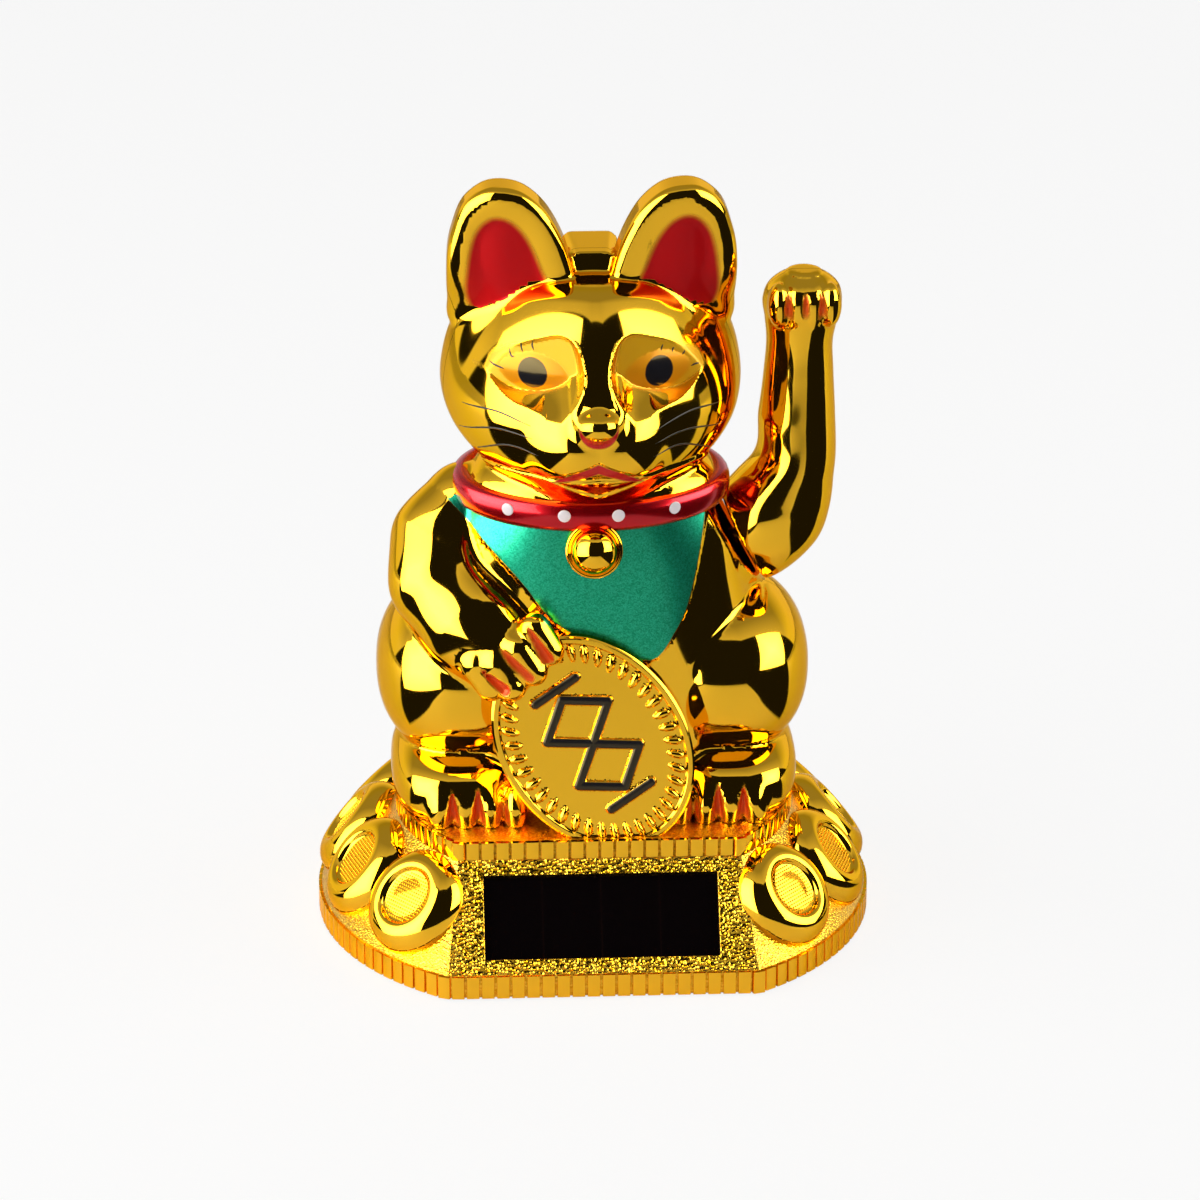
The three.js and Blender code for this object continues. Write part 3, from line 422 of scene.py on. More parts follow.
def evened(points, quads):
    total, hits = np.zeros_like(points), np.zeros(len(points))
    for k in range(4):
        a = quads[:, k]
        for other in (quads[:, (k + 1) % 4], quads[:, (k + 3) % 4]):
            for axis in range(3):
                total[:, axis] += np.bincount(a, points[other, axis], len(points))
            hits += np.bincount(a, minlength=len(points))
    return 0.5 * points + 0.5 * total / np.maximum(hits, 1)[:, None]


# %% [markdown]
# ## The cat's sizes
# These are the same sizes as the solid part has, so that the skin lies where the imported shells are.

# %% Cat sizes
CAT_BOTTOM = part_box("cat_front_shell")[0][2] / MM
AXLE_Z = frame["joints"][0]["pos_m"][2] / MM
print("cat stands at", round(CAT_BOTTOM, 2), "axle at", round(AXLE_Z, 2))

TORSO = np.array([  # height, half width, half depth, centre in y
    [17, 23.5, 15, -1], [19.3, 24, 15.5, -1], [27, 25, 16.5, -1], [40, 24, 17, -1.5], [52, 22, 16.5, -1.5],
    [60, 20.3, 15, -2.5], [65, 17.9, 13.2, -3.8], [68, 17.2, 12.4, -4.0], [70.5, 15, 10.5, -3.4],
    [73, 12, 8, -2]])
TORSO_POWER = 2.3
HEAD_CENTRE = np.array([0, 3.9, 77.9])
HEAD_WIDE, HEAD_FORWARD, HEAD_BEHIND, HEAD_UP, HEAD_DOWN = 21.5, 25.6, 9.0, 24.2, 16.0
HEAD_POWER, FACE_POWER, JAW_POWER, KEEL_POWER, KEEL_SOFT = 2.0, 1.6, 1.6, 1.75, 0.8
FACE_FROM, FACE_TO = 2.0, 10.0
TOP_CENTRE, TOP_RADII = (0, -2, 81.3), (22.5, 60, 15)
TOP_EDGE = 1.2
EAR_OUTLINE = [[19.4, 87], [20.3, 92], [20.3, 99], [19.5, 103], [18.1, 106.4], [15.6, 108.6], [13, 109.2],
               [10, 108.6], [7.4, 106.7], [5.4, 104], [3.6, 100], [2.4, 95], [2.4, 87], [11, 84]]
EAR_FRONT, EAR_BACK = -5.6, 4.0
EAR_TURN_OUT = (0.3, 0.95)   # of the front face, at the top and at the foot
HOLDING_ARM = [(-17.9, -3, 61.8, 6.3), (-21.1, -4.5, 57, 7.0), (-21.5, -8.5, 52.5, 7.0),
               (-17.3, -13, 48, 7.0), (-12.8, -16.6, 44.6, 6.4)]
WAVING_ARM = np.array([  # height, left edge, right edge, half depth to the front and back, centre in y
    [49.6, 23.4, 26.2, 3, 3, 0], [51, 20.5, 28.2, 5, 5, 0], [54.5, 17.5, 31.9, 7.1, 7, 0],
    [60, 17.5, 34.1, 7.7, 7.2, 0.1], [62, 18.4, 34.4, 7.5, 6.8, 0.2], [64.6, 20.6, 34.6, 7.3, 6.3, 0.4],
    [66.6, 22.5, 34.8, 7.1, 5.8, 0.5], [74, 23.8, 34.7, 6.6, 4.9, 1.0], [80, 24.5, 34.4, 6.2, 4.5, 1.3],
    [85, 24.8, 34.3, 6, 4.4, 1.4], [88, 24.5, 34.9, 6.2, 4.9, 1.2], [91, 24.2, 35.4, 6.5, 5.1, 0.8],
    [93.4, 25.2, 34.6, 5.6, 4.5, 0.4], [94.9, 27, 32.9, 3.6, 3, 0.2]])
ARM_TOP = 95.4
SEAM_POINT = np.array([21.6, 0, AXLE_Z])
SEAM_OUT = np.array([math.cos(math.radians(27)), 0, math.sin(math.radians(27))])
SHOULDER_GAP, GAP_SPREAD = 0.3, 0.105   # in the middle, and more per millimetre to the front and back
SHOULDER_TOP = 64.3
ARM_BOTTOM = 49.3
CUT_BOTTOM = 48.3
WALL = 1.0
SEAM_GAP = 0.1
print("the body's widest station is", TORSO[:, 1].max() * 2, "mm wide")


# %% [markdown]
# ## Body forms
# The torso is a stack of rounded sections. The head is boxy from the front and round from the side. Haunches
# and feet are swollen balls that press into each other, with a soft crease where they meet.

# %% Body fields
def soft_steps(at, places, values):
    """A smooth curve through values that are given at rising places."""
    slopes = np.gradient(values, places)
    dense = np.linspace(places[0], places[-1], 400)
    i = np.clip(np.searchsorted(places, dense, "right") - 1, 0, len(places) - 2)
    h = places[i + 1] - places[i]
    t = (dense - places[i]) / h
    a, b = values[i], values[i + 1]
    curve = ((2 * t ** 3 - 3 * t ** 2 + 1) * a + (t ** 3 - 2 * t ** 2 + t) * h * slopes[i]
             + (3 * t ** 2 - 2 * t ** 3) * b + (t ** 3 - t ** 2) * h * slopes[i + 1])
    return np.interp(at, dense, curve)


def torso(p):
    x, y, z = p.T
    rx, ry, cy = (soft_steps(z, TORSO[:, 0], column) for column in TORSO[:, 1:].T)
    g = (np.abs(x) / rx) ** TORSO_POWER + (np.abs(y - cy) / ry) ** TORSO_POWER
    g = np.maximum(g, 1e-6) ** (1 / TORSO_POWER)
    side = np.hypot(x, y - cy) * (1 - 1 / g)
    return both(side, z - TORSO[-1, 0], 2)


# %% [markdown]
# The head's outline from the front is an egg with a broad jaw. From the side it is round, with a soft keel
# down the middle of the face. A flatter dome planes off its top.

# %% Head
def egg_reach(x, z):
    """How far out x and z lie on the egg's outline, 1 at its edge. The power is the outline's squareness."""
    wide = np.sqrt(x ** 2 + KEEL_SOFT ** 2) / HEAD_WIDE
    rise = np.where(z > 0, z / HEAD_UP, np.abs(z / HEAD_DOWN) ** JAW_POWER)
    return lambda power: (wide ** power + rise ** power) ** (1 / power)


def head(p):
    """An egg, boxy at the seam and keeled at the face, with its top planed off by a flatter dome."""
    x, y, z = (p - HEAD_CENTRE).T
    power = HEAD_POWER + (FACE_POWER - HEAD_POWER) * smooth_between(-y, FACE_FROM, FACE_TO)
    deep = np.abs(y / np.where(y < 0, HEAD_FORWARD, HEAD_BEHIND))
    g = np.maximum(egg_reach(x, z)(power) ** KEEL_POWER + deep ** KEEL_POWER, 1e-6) ** (1 / KEEL_POWER)
    egg = np.linalg.norm(p - HEAD_CENTRE, axis=1) * (1 - 1 / g)
    return both(egg, blob(p, TOP_CENTRE, TOP_RADII), TOP_EDGE)


# %% [markdown]
# An ear is a thick plate with the drawn outline. Its front is dished a little inside a lip, and turns more
# to the side at its foot. The distance to the outline is looked up by the angle round its middle.

# %% Ears
EAR_CURVE = curve_through(EAR_OUTLINE, 40, closed=True)
EAR_MIDDLE = np.array([12, 96])
ear_turn = np.arctan2(EAR_CURVE[:, 1] - EAR_MIDDLE[1], EAR_CURVE[:, 0] - EAR_MIDDLE[0])
in_turn = np.argsort(ear_turn)
EAR_TURN = ear_turn[in_turn]
EAR_REACH = np.hypot(*(EAR_CURVE - EAR_MIDDLE).T)[in_turn]
EAR_DISH, EAR_LIP = 0.6, (2.0, 5.5)
EAR_FRONT_ROUND, EAR_BACK_ROUND = 1.5, 4.2
EAR_FOOT, EAR_TURNED = 88, 98   # the heights between which the front face turns


def ear_edge(x, z):
    """Distance in from the ear's outline, seen from the front."""
    turn = np.arctan2(z - EAR_MIDDLE[1], np.abs(x) - EAR_MIDDLE[0])
    reach = np.interp(turn, EAR_TURN, EAR_REACH, period=2 * math.pi)
    return reach - np.hypot(np.abs(x) - EAR_MIDDLE[0], z - EAR_MIDDLE[1])


def ears(p):
    x, y, z = p.T
    deep = ear_edge(x, z)
    dish = EAR_DISH * smooth_between(deep, *EAR_LIP)
    outer = np.abs(x) - EAR_MIDDLE[0] - 1
    at_foot = smooth_between(-z, -EAR_TURNED, -EAR_FOOT)
    turn_out = EAR_TURN_OUT[0] + (EAR_TURN_OUT[1] - EAR_TURN_OUT[0]) * at_foot
    front = EAR_FRONT + turn_out * (outer + np.sqrt(outer ** 2 + 3)) / 2
    middle, half = (front + EAR_BACK) / 2, (EAR_BACK - front) / 2
    rounding = np.where(y < middle, EAR_FRONT_ROUND, np.minimum(EAR_BACK_ROUND, half))
    a = rounding - deep
    b = np.where(y < middle, middle - y + dish, y - middle) - half + rounding
    return np.hypot(np.maximum(a, 0), np.maximum(b, 0)) + np.minimum(np.maximum(a, b), 0) - rounding


# %% Crown
def ball(form):
    return lambda p: blob(p, *form)


def mirrored(p):
    return np.stack([np.abs(p[:, 0]), p[:, 1], p[:, 2]], axis=1)


CROWN_TOP, CROWN_FRONT, CROWN_BACK = 98.9, -2.8, 8.6
CROWN_HALF = (3.2, 4.1)


def crown(p):
    """The block between the ears, with a steep front and a wider back."""
    x, y, z = p.T
    half = np.interp(y, [CROWN_FRONT, CROWN_BACK], CROWN_HALF)
    side = np.maximum(np.abs(x) - half, (np.abs(x) - half + z - CROWN_TOP + 0.6) / math.sqrt(2) + 0.3)
    front = (CROWN_FRONT - y + (z - 96) * 0.3) * 0.95
    block = both(both(side, z - CROWN_TOP, 0.3), front, 0.3)
    return both(block, (y - CROWN_BACK + (z - 97) * 0.25), 0.8)


print("the ear reaches", round(EAR_REACH.min(), 1), "to", round(EAR_REACH.max(), 1), "mm from its middle")

# %% [markdown]
# ## Face forms
# Each eye lies in a socket that is cut back from the dome to an upright plane, between a brow and a lower
# lid, and bulges a little in it. A low ridge runs down each side of the nose, and the mouth is pressed in. All
# of it is relief seen from the front, so a function of x and z says how far the face lies behind its plain
# dome.

# %% Face fields
def near(p, low, high):
    return np.all((p > np.asarray(low)) & (p < np.asarray(high)), axis=1)


def with_form(d, p, low, high, form, combine, amount):
    """Joins or carves a small form, worked out only inside its own box."""
    m = near(p, low, high)
    if m.any():
        d = d.copy()
        d[m] = combine(d[m], form(p[m]), amount)
    return d


# %% Eyes and sockets
EYE_MIDDLE, EYE_HALF = (8.7, 85.3), (4.7, 2.8, 2.8)
LOWER_LID = curve_through([(1.6, 86.4), (3.4, 85.4), (4.2, 84.6), (5.7, 83.5), (8.5, 82.6), (11.2, 82.5),
                           (13.3, 83.2), (15.4, 84.7)], 8)
BROW = curve_through([(1.1, 85.5), (1.5, 87.2), (2.2, 89.2), (3.2, 90.4), (5.2, 90.9), (7.6, 90.2),
                      (10.5, 89.1), (13.3, 87.7), (14.6, 86.6), (15.4, 84.7)], 8)
EYE_POWER = 1.7
SOCKET_Y, SOCKET_TURN, SOCKET_LEAN, EYE_BULGE = -12.9, 0.5, 0.13, 0.5
SOCKET_END = 15.8
SHELF_SLOPE = np.array([(5, 1.1), (7, 1.6), (10, 4)])   # how far out, and how steep the shelf is there
NOSE_EDGE = curve_through([(79.8, 2.9), (81.5, 3.2), (83.5, 2.6), (86.1, 2.1), (88.5, 2.4), (90.2, 3.1),
                           (91.2, 4.2)], 6)   # height, and how far out it is there
NOSE_WALL = 0.8
RIDGE_HEIGHT, RIDGE_HALF = 0.4, 0.7
MOUTH = np.array([(0, 75.3), (7.5, 71.6), (0, 68.4), (-7.8, 71.6)])
MOUTH_DEEP = 0.6


def almond(x, z):
    """1 on the rim between the lids, less inside."""
    u = (x - EYE_MIDDLE[0]) / EYE_HALF[0]
    v = (z - EYE_MIDDLE[1]) / np.where(z > EYE_MIDDLE[1], EYE_HALF[1], EYE_HALF[2])
    return (np.abs(u) ** EYE_POWER + np.abs(v) ** EYE_POWER) ** (1 / EYE_POWER)


def dome_front(x, z):
    """Where the head's plain egg has its front."""
    across = np.clip(egg_reach(x - HEAD_CENTRE[0], z - HEAD_CENTRE[2])(FACE_POWER), 0, 1)
    return HEAD_CENTRE[1] - HEAD_FORWARD * (1 - across ** KEEL_POWER) ** (1 / KEEL_POWER)


def eye_socket(x, z):
    """The dome is cut back there to an upright plane. Below the lid a shelf leads out to the cheek."""
    brow, lid = np.interp(x, *BROW.T), np.interp(x, *LOWER_LID.T)
    at = np.maximum(z, lid)
    plane = SOCKET_Y + SOCKET_TURN * (x - 8) + SOCKET_LEAN * (at - 88)
    plane = plane - EYE_BULGE * np.clip(1 - almond(x, at) ** 2, 0, 1)
    deep = plane - dome_front(x, at) - np.interp(x, *SHELF_SLOPE.T) * np.maximum(lid - z, 0)
    deep = 0.5 * (deep + np.sqrt(deep ** 2 + 0.04)) * smooth_between(SOCKET_END - x, 0, 0.6)
    return deep * smooth_between(brow - z, -0.3, 0.5)


def socket_paint_and_reflection_area(x, z):
    """Distance into the yellow round the eye: sprayed paint, and a painted reflection of the table."""
    over = np.minimum(np.interp(x, *BROW.T) - z, z - np.interp(x, *LOWER_LID.T))
    return np.minimum(over, x - np.interp(z, *NOSE_EDGE.T) - 0.5)


# %% Nose, mouth and chin
def face_relief(x, z):
    """How far the face lies behind its plain dome there, seen from the front."""
    edge = np.interp(z, *NOSE_EDGE.T) - x
    beside = 1 - smooth_between(edge, -NOSE_WALL / 2, NOSE_WALL / 2)
    ridge = RIDGE_HEIGHT * (1 - np.clip(np.abs(edge) / RIDGE_HALF, 0, 1) ** 2) ** 1.5
    ridge *= smooth_between(z, 79, 81) * (1 - smooth_between(z, 89, 91.2))
    mouth = MOUTH_DEEP * smooth_between(inside_outline(x, z, MOUTH), -0.1, 0.6)
    return eye_socket(x, z) * beside - ridge + mouth


# Each swollen form is a ball: its centre, its radii and how boxy it is.
NOSE = (0, -21.7, 80.1), (2.8, 2.5, 2.0), 2.0
MUZZLE = (2.6, -16.8, 75.7), (6.0, 5.6, 5.0), 2.0
CHIN = (0, -12.8, 70.2), (8.0, 5.0, 4.0), 2.2
print("the eye lies", round(float(eye_socket(*np.array(EYE_MIDDLE)[:, None])[0]), 2), "mm behind the dome")


# %% [markdown]
# ## Paws
# Each paw has four round toes, and three grooves that narrow to a point at the top part them. The grooves are
# painted as claws.

# %% Paw fields
CLAW_RADIUS, CLAW_POINT, WAVING_CLAW = 1.0, 0.12, 0.62
FOOT_CLAWS = [[(x, -21.0, 19.5), (x + 0.1, -19.6, 24.9)] for x in (13.5, 17.0, 20.6)]
HOLDING_CLAWS = [[(-7.3, -23.4, 46.0), (-10.4, -22.4, 51.4)], [(-10.0, -24.3, 43.4), (-14.3, -22.4, 48.2)],
                 [(-13.6, -23.6, 41.7), (-16.8, -21.6, 44.9)]]
WAVING_CLAWS = [[(27.4, -6.1, 88.9), (27.4, -5.0, 94.1)], [(29.8, -6.5, 88.7), (29.8, -5.4, 94.3)],
                [(32.2, -6.1, 88.9), (32.1, -5.0, 94.1)]]


def grooves(p, claws, radius):
    d = None
    for start, end in claws:
        bar = taper(p, start, end, radius, CLAW_POINT)
        d = bar if d is None else np.minimum(d, bar)
    return d


def row_of_toes(p, across, y, z, radii):
    return np.minimum.reduce([blob(p, (x, y, z), radii) for x in across])


FOOT_PAD = (19.4, -4, 22.8), (9.8, 16.4, 6.2), 2.6


def foot(p):
    toes = row_of_toes(p, (11.8, 15.3, 18.8, 22.4), -18.4, 21.2, (1.9, 2.6, 3.6))
    return joined(blob(p, *FOOT_PAD), toes, 0.7)


WRIST_WAY = np.array([-1.7, 0.6, 2.6])
HOLDING_TOES = [(-7.4, -21.0, 47.4), (-9.7, -21.6, 44.6), (-12.7, -21.6, 42.3), (-15.6, -20.4, 41.9)]


def holding_toes(p):
    toes = None
    for c in HOLDING_TOES:
        toe = taper(p, c - 0.3 * WRIST_WAY, c + 0.9 * WRIST_WAY, 2.1, 2.3)
        toes = toe if toes is None else joined(toes, toe, 0.6)
    return toes


# %% [markdown]
# ## Where the coin stands
# The oval coin leans against the cat from the plinth, with its long axis turned. Its face, ribs and marks are
# all placed along that axis and across it.

# %% Coin placement
COIN_HALF = (16.8, 13.0)
COIN_TURN = math.radians(-55.6)
COIN_LEAN = math.radians(7.5)
COIN_FOOT = np.array([0, -24.3, CAT_BOTTOM])
COIN_UP = np.array([0, math.sin(COIN_LEAN), math.cos(COIN_LEAN)])
COIN_OUT = np.array([0, -math.cos(COIN_LEAN), math.sin(COIN_LEAN)])
COIN_LONG = math.cos(COIN_TURN) * np.array([1, 0, 0]) + math.sin(COIN_TURN) * COIN_UP
COIN_CROSS = -math.sin(COIN_TURN) * np.array([1, 0, 0]) + math.cos(COIN_TURN) * COIN_UP
COIN_MIDDLE = COIN_FOOT + np.array([-0.8, 0, 0]) + COIN_UP * (32.9 - CAT_BOTTOM) / math.cos(COIN_LEAN)
print("the coin's middle is at", COIN_MIDDLE.round(1))


# %% [markdown]
# ## The bib
# The bib is a low step on the chest with a bare gold edge, and green lacquer inside it.

# %% Bib outline
BIB = curve_through([(-24.5, 70.2), (-22.4, 66.2), (-18.0, 62.0), (-11.2, 55.5), (-6.3, 49.5), (0.4, 46),
                     (7.5, 43.4), (11.0, 47.0), (13.3, 51.9), (15.2, 60.9), (15.8, 66.6), (14, 72)],
                    4, closed=True)
BIB_STEP, BIB_EDGE = 0.35, 0.25
print("the bib's outline has", len(BIB), "points")


def bib_inside(p):
    d = np.full(len(p), -9.0)
    m = near(p, (-24, -40, 40), (19, -8, 74))
    d[m] = inside_outline(p[m, 0], p[m, 2], BIB)
    return d


# %% [markdown]
# ## The whole cat
# The forms are joined one after the other, each with its own fillet. A form is only worked out inside a box
# round it, which saves most of the time. Beside the waving arm the body is cut back to the arm's seam, and
# the gap widens to the front and back, so that the arm can swing.

# %% Whole cat
def shoulder_plane(p):
    return (p - SEAM_POINT) @ SEAM_OUT


def face(p, m):
    moved = p.copy()
    relief = near(m, (-1, -34, 66), (18, -5, 94))
    moved[relief, 1] -= face_relief(m[relief, 0], m[relief, 2])
    d = head(moved)
    d = with_form(d, m, (-1, -28, 66), (14, -6, 84), ball(MUZZLE), joined, 2.6)
    d = with_form(d, m, (-1, -24, 63), (12, -5, 79), ball(CHIN), joined, 2.0)
    return with_form(d, m, (-1, -28, 75), (7, -14, 88), ball(NOSE), joined, 1.8)


# %% The body's field
HAUNCH = (18.6, -1, 37), (12.5, 17, 12.6), 2.25
SHOULDER = (16.5, 0, 55.2), (10, 8, 9), 2.0


def body_field(p):
    m = mirrored(p)
    d = joined(torso(p), face(p, m), 0.8)
    d = d - BIB_STEP * smooth_between(bib_inside(p), -0.3, 0.4)
    d = with_form(d, p, (-1e3, -14, 80), (1e3, 12, 115), ears, joined, 0.7)
    d = with_form(d, p, (-8, -6, 86), (8, 13, 101), crown, joined, 0.6)
    d = with_form(d, m, (2, -25, 18), (36, 20, 54), ball(HAUNCH), joined, 0.7)
    d = with_form(d, m, (4, -26, 10), (36, 18, 34), foot, joined, 0.9)
    d = with_form(d, p, (4, -12, 42), (30, 12, 68), ball(SHOULDER), joined, 1.5)
    d = with_form(d, p, (-34, -30, 32), (-4, 10, 74), lambda q: limb(q, HOLDING_ARM, 3), joined, 0.8)
    d = with_form(d, p, (-24, -30, 36), (-2, -12, 54), holding_toes, joined, 1.0)
    for at, low, high, claws in ((p, (-22, -30, 38), (-4, -14, 56), HOLDING_CLAWS),
                                 (m, (10, -26, 16), (25, -14, 28), FOOT_CLAWS)):
        d = with_form(d, at, low, high, lambda q: grooves(q, claws, CLAW_RADIUS), carved, 0.4)
    return both(d, -cut_region(p), 0.4)


def cut_region(p):
    """Where the body is cut back beside the waving arm: negative inside."""
    away = -(shoulder_plane(p) + SHOULDER_GAP + GAP_SPREAD * np.abs(p[:, 1]))
    return np.maximum.reduce([away, p[:, 2] - SHOULDER_TOP, CUT_BOTTOM - p[:, 2], -p[:, 0]])


# %% [markdown]
# The waving arm is a stack of rounded sections like the torso, each with its own left and right edge. It is
# cut at the shoulder by the seam's plane, and the body stays a little way behind that plane.

# %% The arm's field
def arm_field(p):
    x, y, z = p.T
    left, right, forward, behind, middle = (soft_steps(z, WAVING_ARM[:, 0], column)
                                            for column in WAVING_ARM[:, 1:].T)
    x, y = x - (left + right) / 2, y - middle
    g = np.maximum(np.hypot(2 * x / (right - left), y / np.where(y < 0, forward, behind)), 1e-4)
    d = both(np.hypot(x, y) * (1 - 1 / g), np.maximum(z - ARM_TOP, ARM_BOTTOM - z), 1.5)
    d = joined(d, row_of_toes(p, (26.2, 28.6, 31.0, 33.4), -3.5, 91.2, (1.6, 2.4, 3.2)), 0.8)
    d = carved(d, grooves(p, WAVING_CLAWS, WAVING_CLAW), 0.3)
    return both(d, -shoulder_plane(p), 0.4)


# %% [markdown]
# ## Gold plating and paint
# The plating is a metal film under clear yellow lacquer. The film gives a coloured mirror, so the shader is
# metallic, and the lacquer adds a thin clear coat. A mould leaves faint waves, which bend the reflections a
# little. The paint is laid over it where the skin's own attributes say: each holds the distance, in
# millimetres, into a painted area, so its edge stays sharp however coarse the mesh is.

# %% Gold plating
GOLD, GOLD_EDGE = linear("#F8BE2A"), linear("#FFDC78")
WAVES_MM, HAZE_MM = 7.0, 2.5


def gold_plating(name, waves=0.012, roughness=0.055):
    material, tree, shader = new_material(name, Base_Color=GOLD, Metallic=1.0, Roughness=roughness,
                                          Specular_Tint=GOLD_EDGE, Coat_Weight=0.12, Coat_Roughness=0.03)
    bumped(tree, shader, noise_at(tree, WAVES_MM, 1.0), waves)
    uneven_gloss(tree, shader, noise_at(tree, HAZE_MM, 3.0), roughness * 0.7, roughness * 1.4)
    return material, tree, shader


# %% [markdown]
# A coat of paint goes over what the shader had until then, so that several coats can be laid one after the
# other. The bib's green holds fine flakes, each tinted a little lighter or darker: painted glints.

# %% Coats of paint
def paint_over(tree, shader, attribute, color, metallic, roughness, soft, cover=1.0):
    """One more coat of paint on a plated material. soft is how far its edge fades, in millimetres."""
    inside = put(tree, "ShaderNodeAttribute", attribute_name=attribute).outputs["Fac"]
    mask = ramp_between(tree, inside, -soft, soft, smooth=True)
    if cover < 1:
        mask = sums(tree, "MULTIPLY", mask, cover)

    def under(socket):
        links = shader.inputs[socket].links
        return links[0].from_socket if links else shader.inputs[socket].default_value

    base = under("Base Color")
    base = base if isinstance(base, bpy.types.NodeSocket) else list(base)
    tree.links.new(mixed(tree, mask, base, color), shader.inputs["Base Color"])
    tree.links.new(mixed_value(tree, mask, under("Metallic"), metallic), shader.inputs["Metallic"])
    tree.links.new(mixed_value(tree, mask, under("Roughness"), roughness), shader.inputs["Roughness"])


def sparkle(tree, grain_mm, dark, light):
    """Colour of a paint with fine metal flakes, each tinted a little lighter or darker: painted glints."""
    flakes = put(tree, "ShaderNodeTexVoronoi", {"Vector": place_of(tree), "Scale": 1 / (grain_mm * MM)})
    tone = put(tree, "ShaderNodeSeparateColor", {"Color": flakes.outputs["Color"]}).outputs["Red"]
    return mixed(tree, tone, dark, light)


# %% The cat's materials
CLAW_RED = linear("#D8300C")
cat_gold, tree, shader = gold_plating("gold vacuum plating with paint")
# The bib's green, with its flakes' glints painted in as lighter and darker grains.
bib_green_and_glints = sparkle(tree, 0.16, linear("#069068"), linear("#28B890"))
paint_over(tree, shader, "bib", bib_green_and_glints, 0.85, 0.3, soft=0.12)
# Round the eye: sprayed yellow, which is also a painted reflection of the white table over the socket.
paint_over(tree, shader, "socket", linear("#D9A016"), 0.2, 0.4, soft=0.5, cover=0.88)
paint_over(tree, shader, "eye", linear("#E4900C"), 0.2, 0.3, soft=0.45, cover=0.9)
paint_over(tree, shader, "ear_red", linear("#B80014"), 0.75, 0.6, soft=0.6)
paint_over(tree, shader, "claw", CLAW_RED, 0.05, 0.35, soft=0.2)
paint_over(tree, shader, "lip", linear("#BE0A20"), 0.2, 0.25, soft=0.15)
paint_over(tree, shader, "pupil", linear("#1C1C22"), 0.0, 0.12, soft=0.08)
plain_gold = gold_plating("gold vacuum plating")[0]
print("materials:", cat_gold.name, "and", plain_gold.name)

# %% [markdown]
# ## Painted areas
# Each area is a distance into an outline, in millimetres, at every point of the skin: positive inside. The
# outlines are drawn from the front, and the mirrored ones serve both sides.

# %% Painted areas
COLLAR_HALF = (18.2, 13.3)
COLLAR_CENTRE = np.array([-0.4, -4.2, 65.9])
COLLAR_TILT = 0.045
COLLAR_THICK, COLLAR_TALL = 1.6, 2.15
EAR_PATCH = curve_through([(17.6, 92.6), (17.5, 98), (16.4, 102.6), (14.2, 104.9), (11.6, 104.6), (9.2, 102),
                           (7.2, 97.5), (6.2, 94.0), (9, 90), (15, 89.5)], 5, closed=True)
LIP_RED = np.array([(0, 74.7), (3.4, 73.3), (6.7, 71.0), (3.4, 71.9), (0, 73.1), (-3.4, 71.9), (-6.7, 71.0),
                    (-3.4, 73.3)])
PUPIL_MIDDLE, PUPIL_RADIUS, PUPIL_FLAT = (8.8, 85.2), 2.0, 0.93
NOSE_DISC, NOSE_BARE = (79.9, 2.75), (80.8, 2.15)   # height and radius: red below where the bare disc ends
CLAW_DEPTH = 0.16
NOT_HERE = -5


def painted_areas(p):
    m = mirrored(p)
    front = p[:, 1] < 0
    below_collar = COLLAR_CENTRE[2] + COLLAR_TILT * (p[:, 1] - COLLAR_CENTRE[1]) - p[:, 2]
    areas = {"bib": np.minimum(bib_inside(p) - BIB_EDGE, below_collar)}
    red = inside_outline(m[:, 0], m[:, 2], EAR_PATCH)
    areas["ear_red"] = np.where(front & (p[:, 2] > 91) & (head(p) > 0.3), red, NOT_HERE)
    areas["socket"] = np.where(p[:, 1] < -6, socket_paint_and_reflection_area(m[:, 0], p[:, 2]), NOT_HERE)
    areas["eye"] = np.where(p[:, 1] < -6, 3.0 * (1 - almond(m[:, 0], p[:, 2])), NOT_HERE)
    claws = np.minimum(grooves(m, FOOT_CLAWS, CLAW_RADIUS), grooves(p, HOLDING_CLAWS, CLAW_RADIUS))
    areas["claw"] = CLAW_DEPTH - claws
    nose_under = np.minimum(NOSE_DISC[1] - np.hypot(m[:, 0], p[:, 2] - NOSE_DISC[0]),
                            np.hypot(m[:, 0] / 1.25, p[:, 2] - NOSE_BARE[0]) - NOSE_BARE[1])
    lip = np.maximum(inside_outline(p[:, 0], p[:, 2], LIP_RED), nose_under)
    areas["lip"] = np.where(p[:, 1] < -12, lip, NOT_HERE)
    from_pupil = np.hypot(m[:, 0] - PUPIL_MIDDLE[0], (p[:, 2] - PUPIL_MIDDLE[1]) * PUPIL_FLAT)
    areas["pupil"] = np.where(p[:, 1] < -8, PUPIL_RADIUS - from_pupil, NOT_HERE)
    return areas


def set_areas(piece, areas):
    for name, values in areas.items():
        layer = piece.data.attributes.new(name, "FLOAT", "POINT")
        layer.data.foreach_set("value", np.asarray(values, np.float32))


def positions(piece):
    flat = np.empty(len(piece.data.vertices) * 3)
    piece.data.vertices.foreach_get("co", flat)
    return flat.reshape(-1, 3) / MM


# %% [markdown]
# ## The cat's two shells
# The skin is made once and then cut along the seam plane, a hair to either side of it, as the mould parts.
# Solidify gives each half its wall, which also closes the cut edges. The face has finer cells, and the
# shading takes its normals from the field, so that the mirror finish shows no mesh.

# %% Cutting and walls
def trim(piece, point, outward):
    """Cuts off what lies beyond a plane, and leaves the cut open."""
    reworked(piece, lambda work: bmesh.ops.bisect_plane(
        work, geom=work.verts[:] + work.edges[:] + work.faces[:], dist=SAME_POINT,
        plane_co=Vector(point) * MM, plane_no=Vector(outward), clear_outer=True))


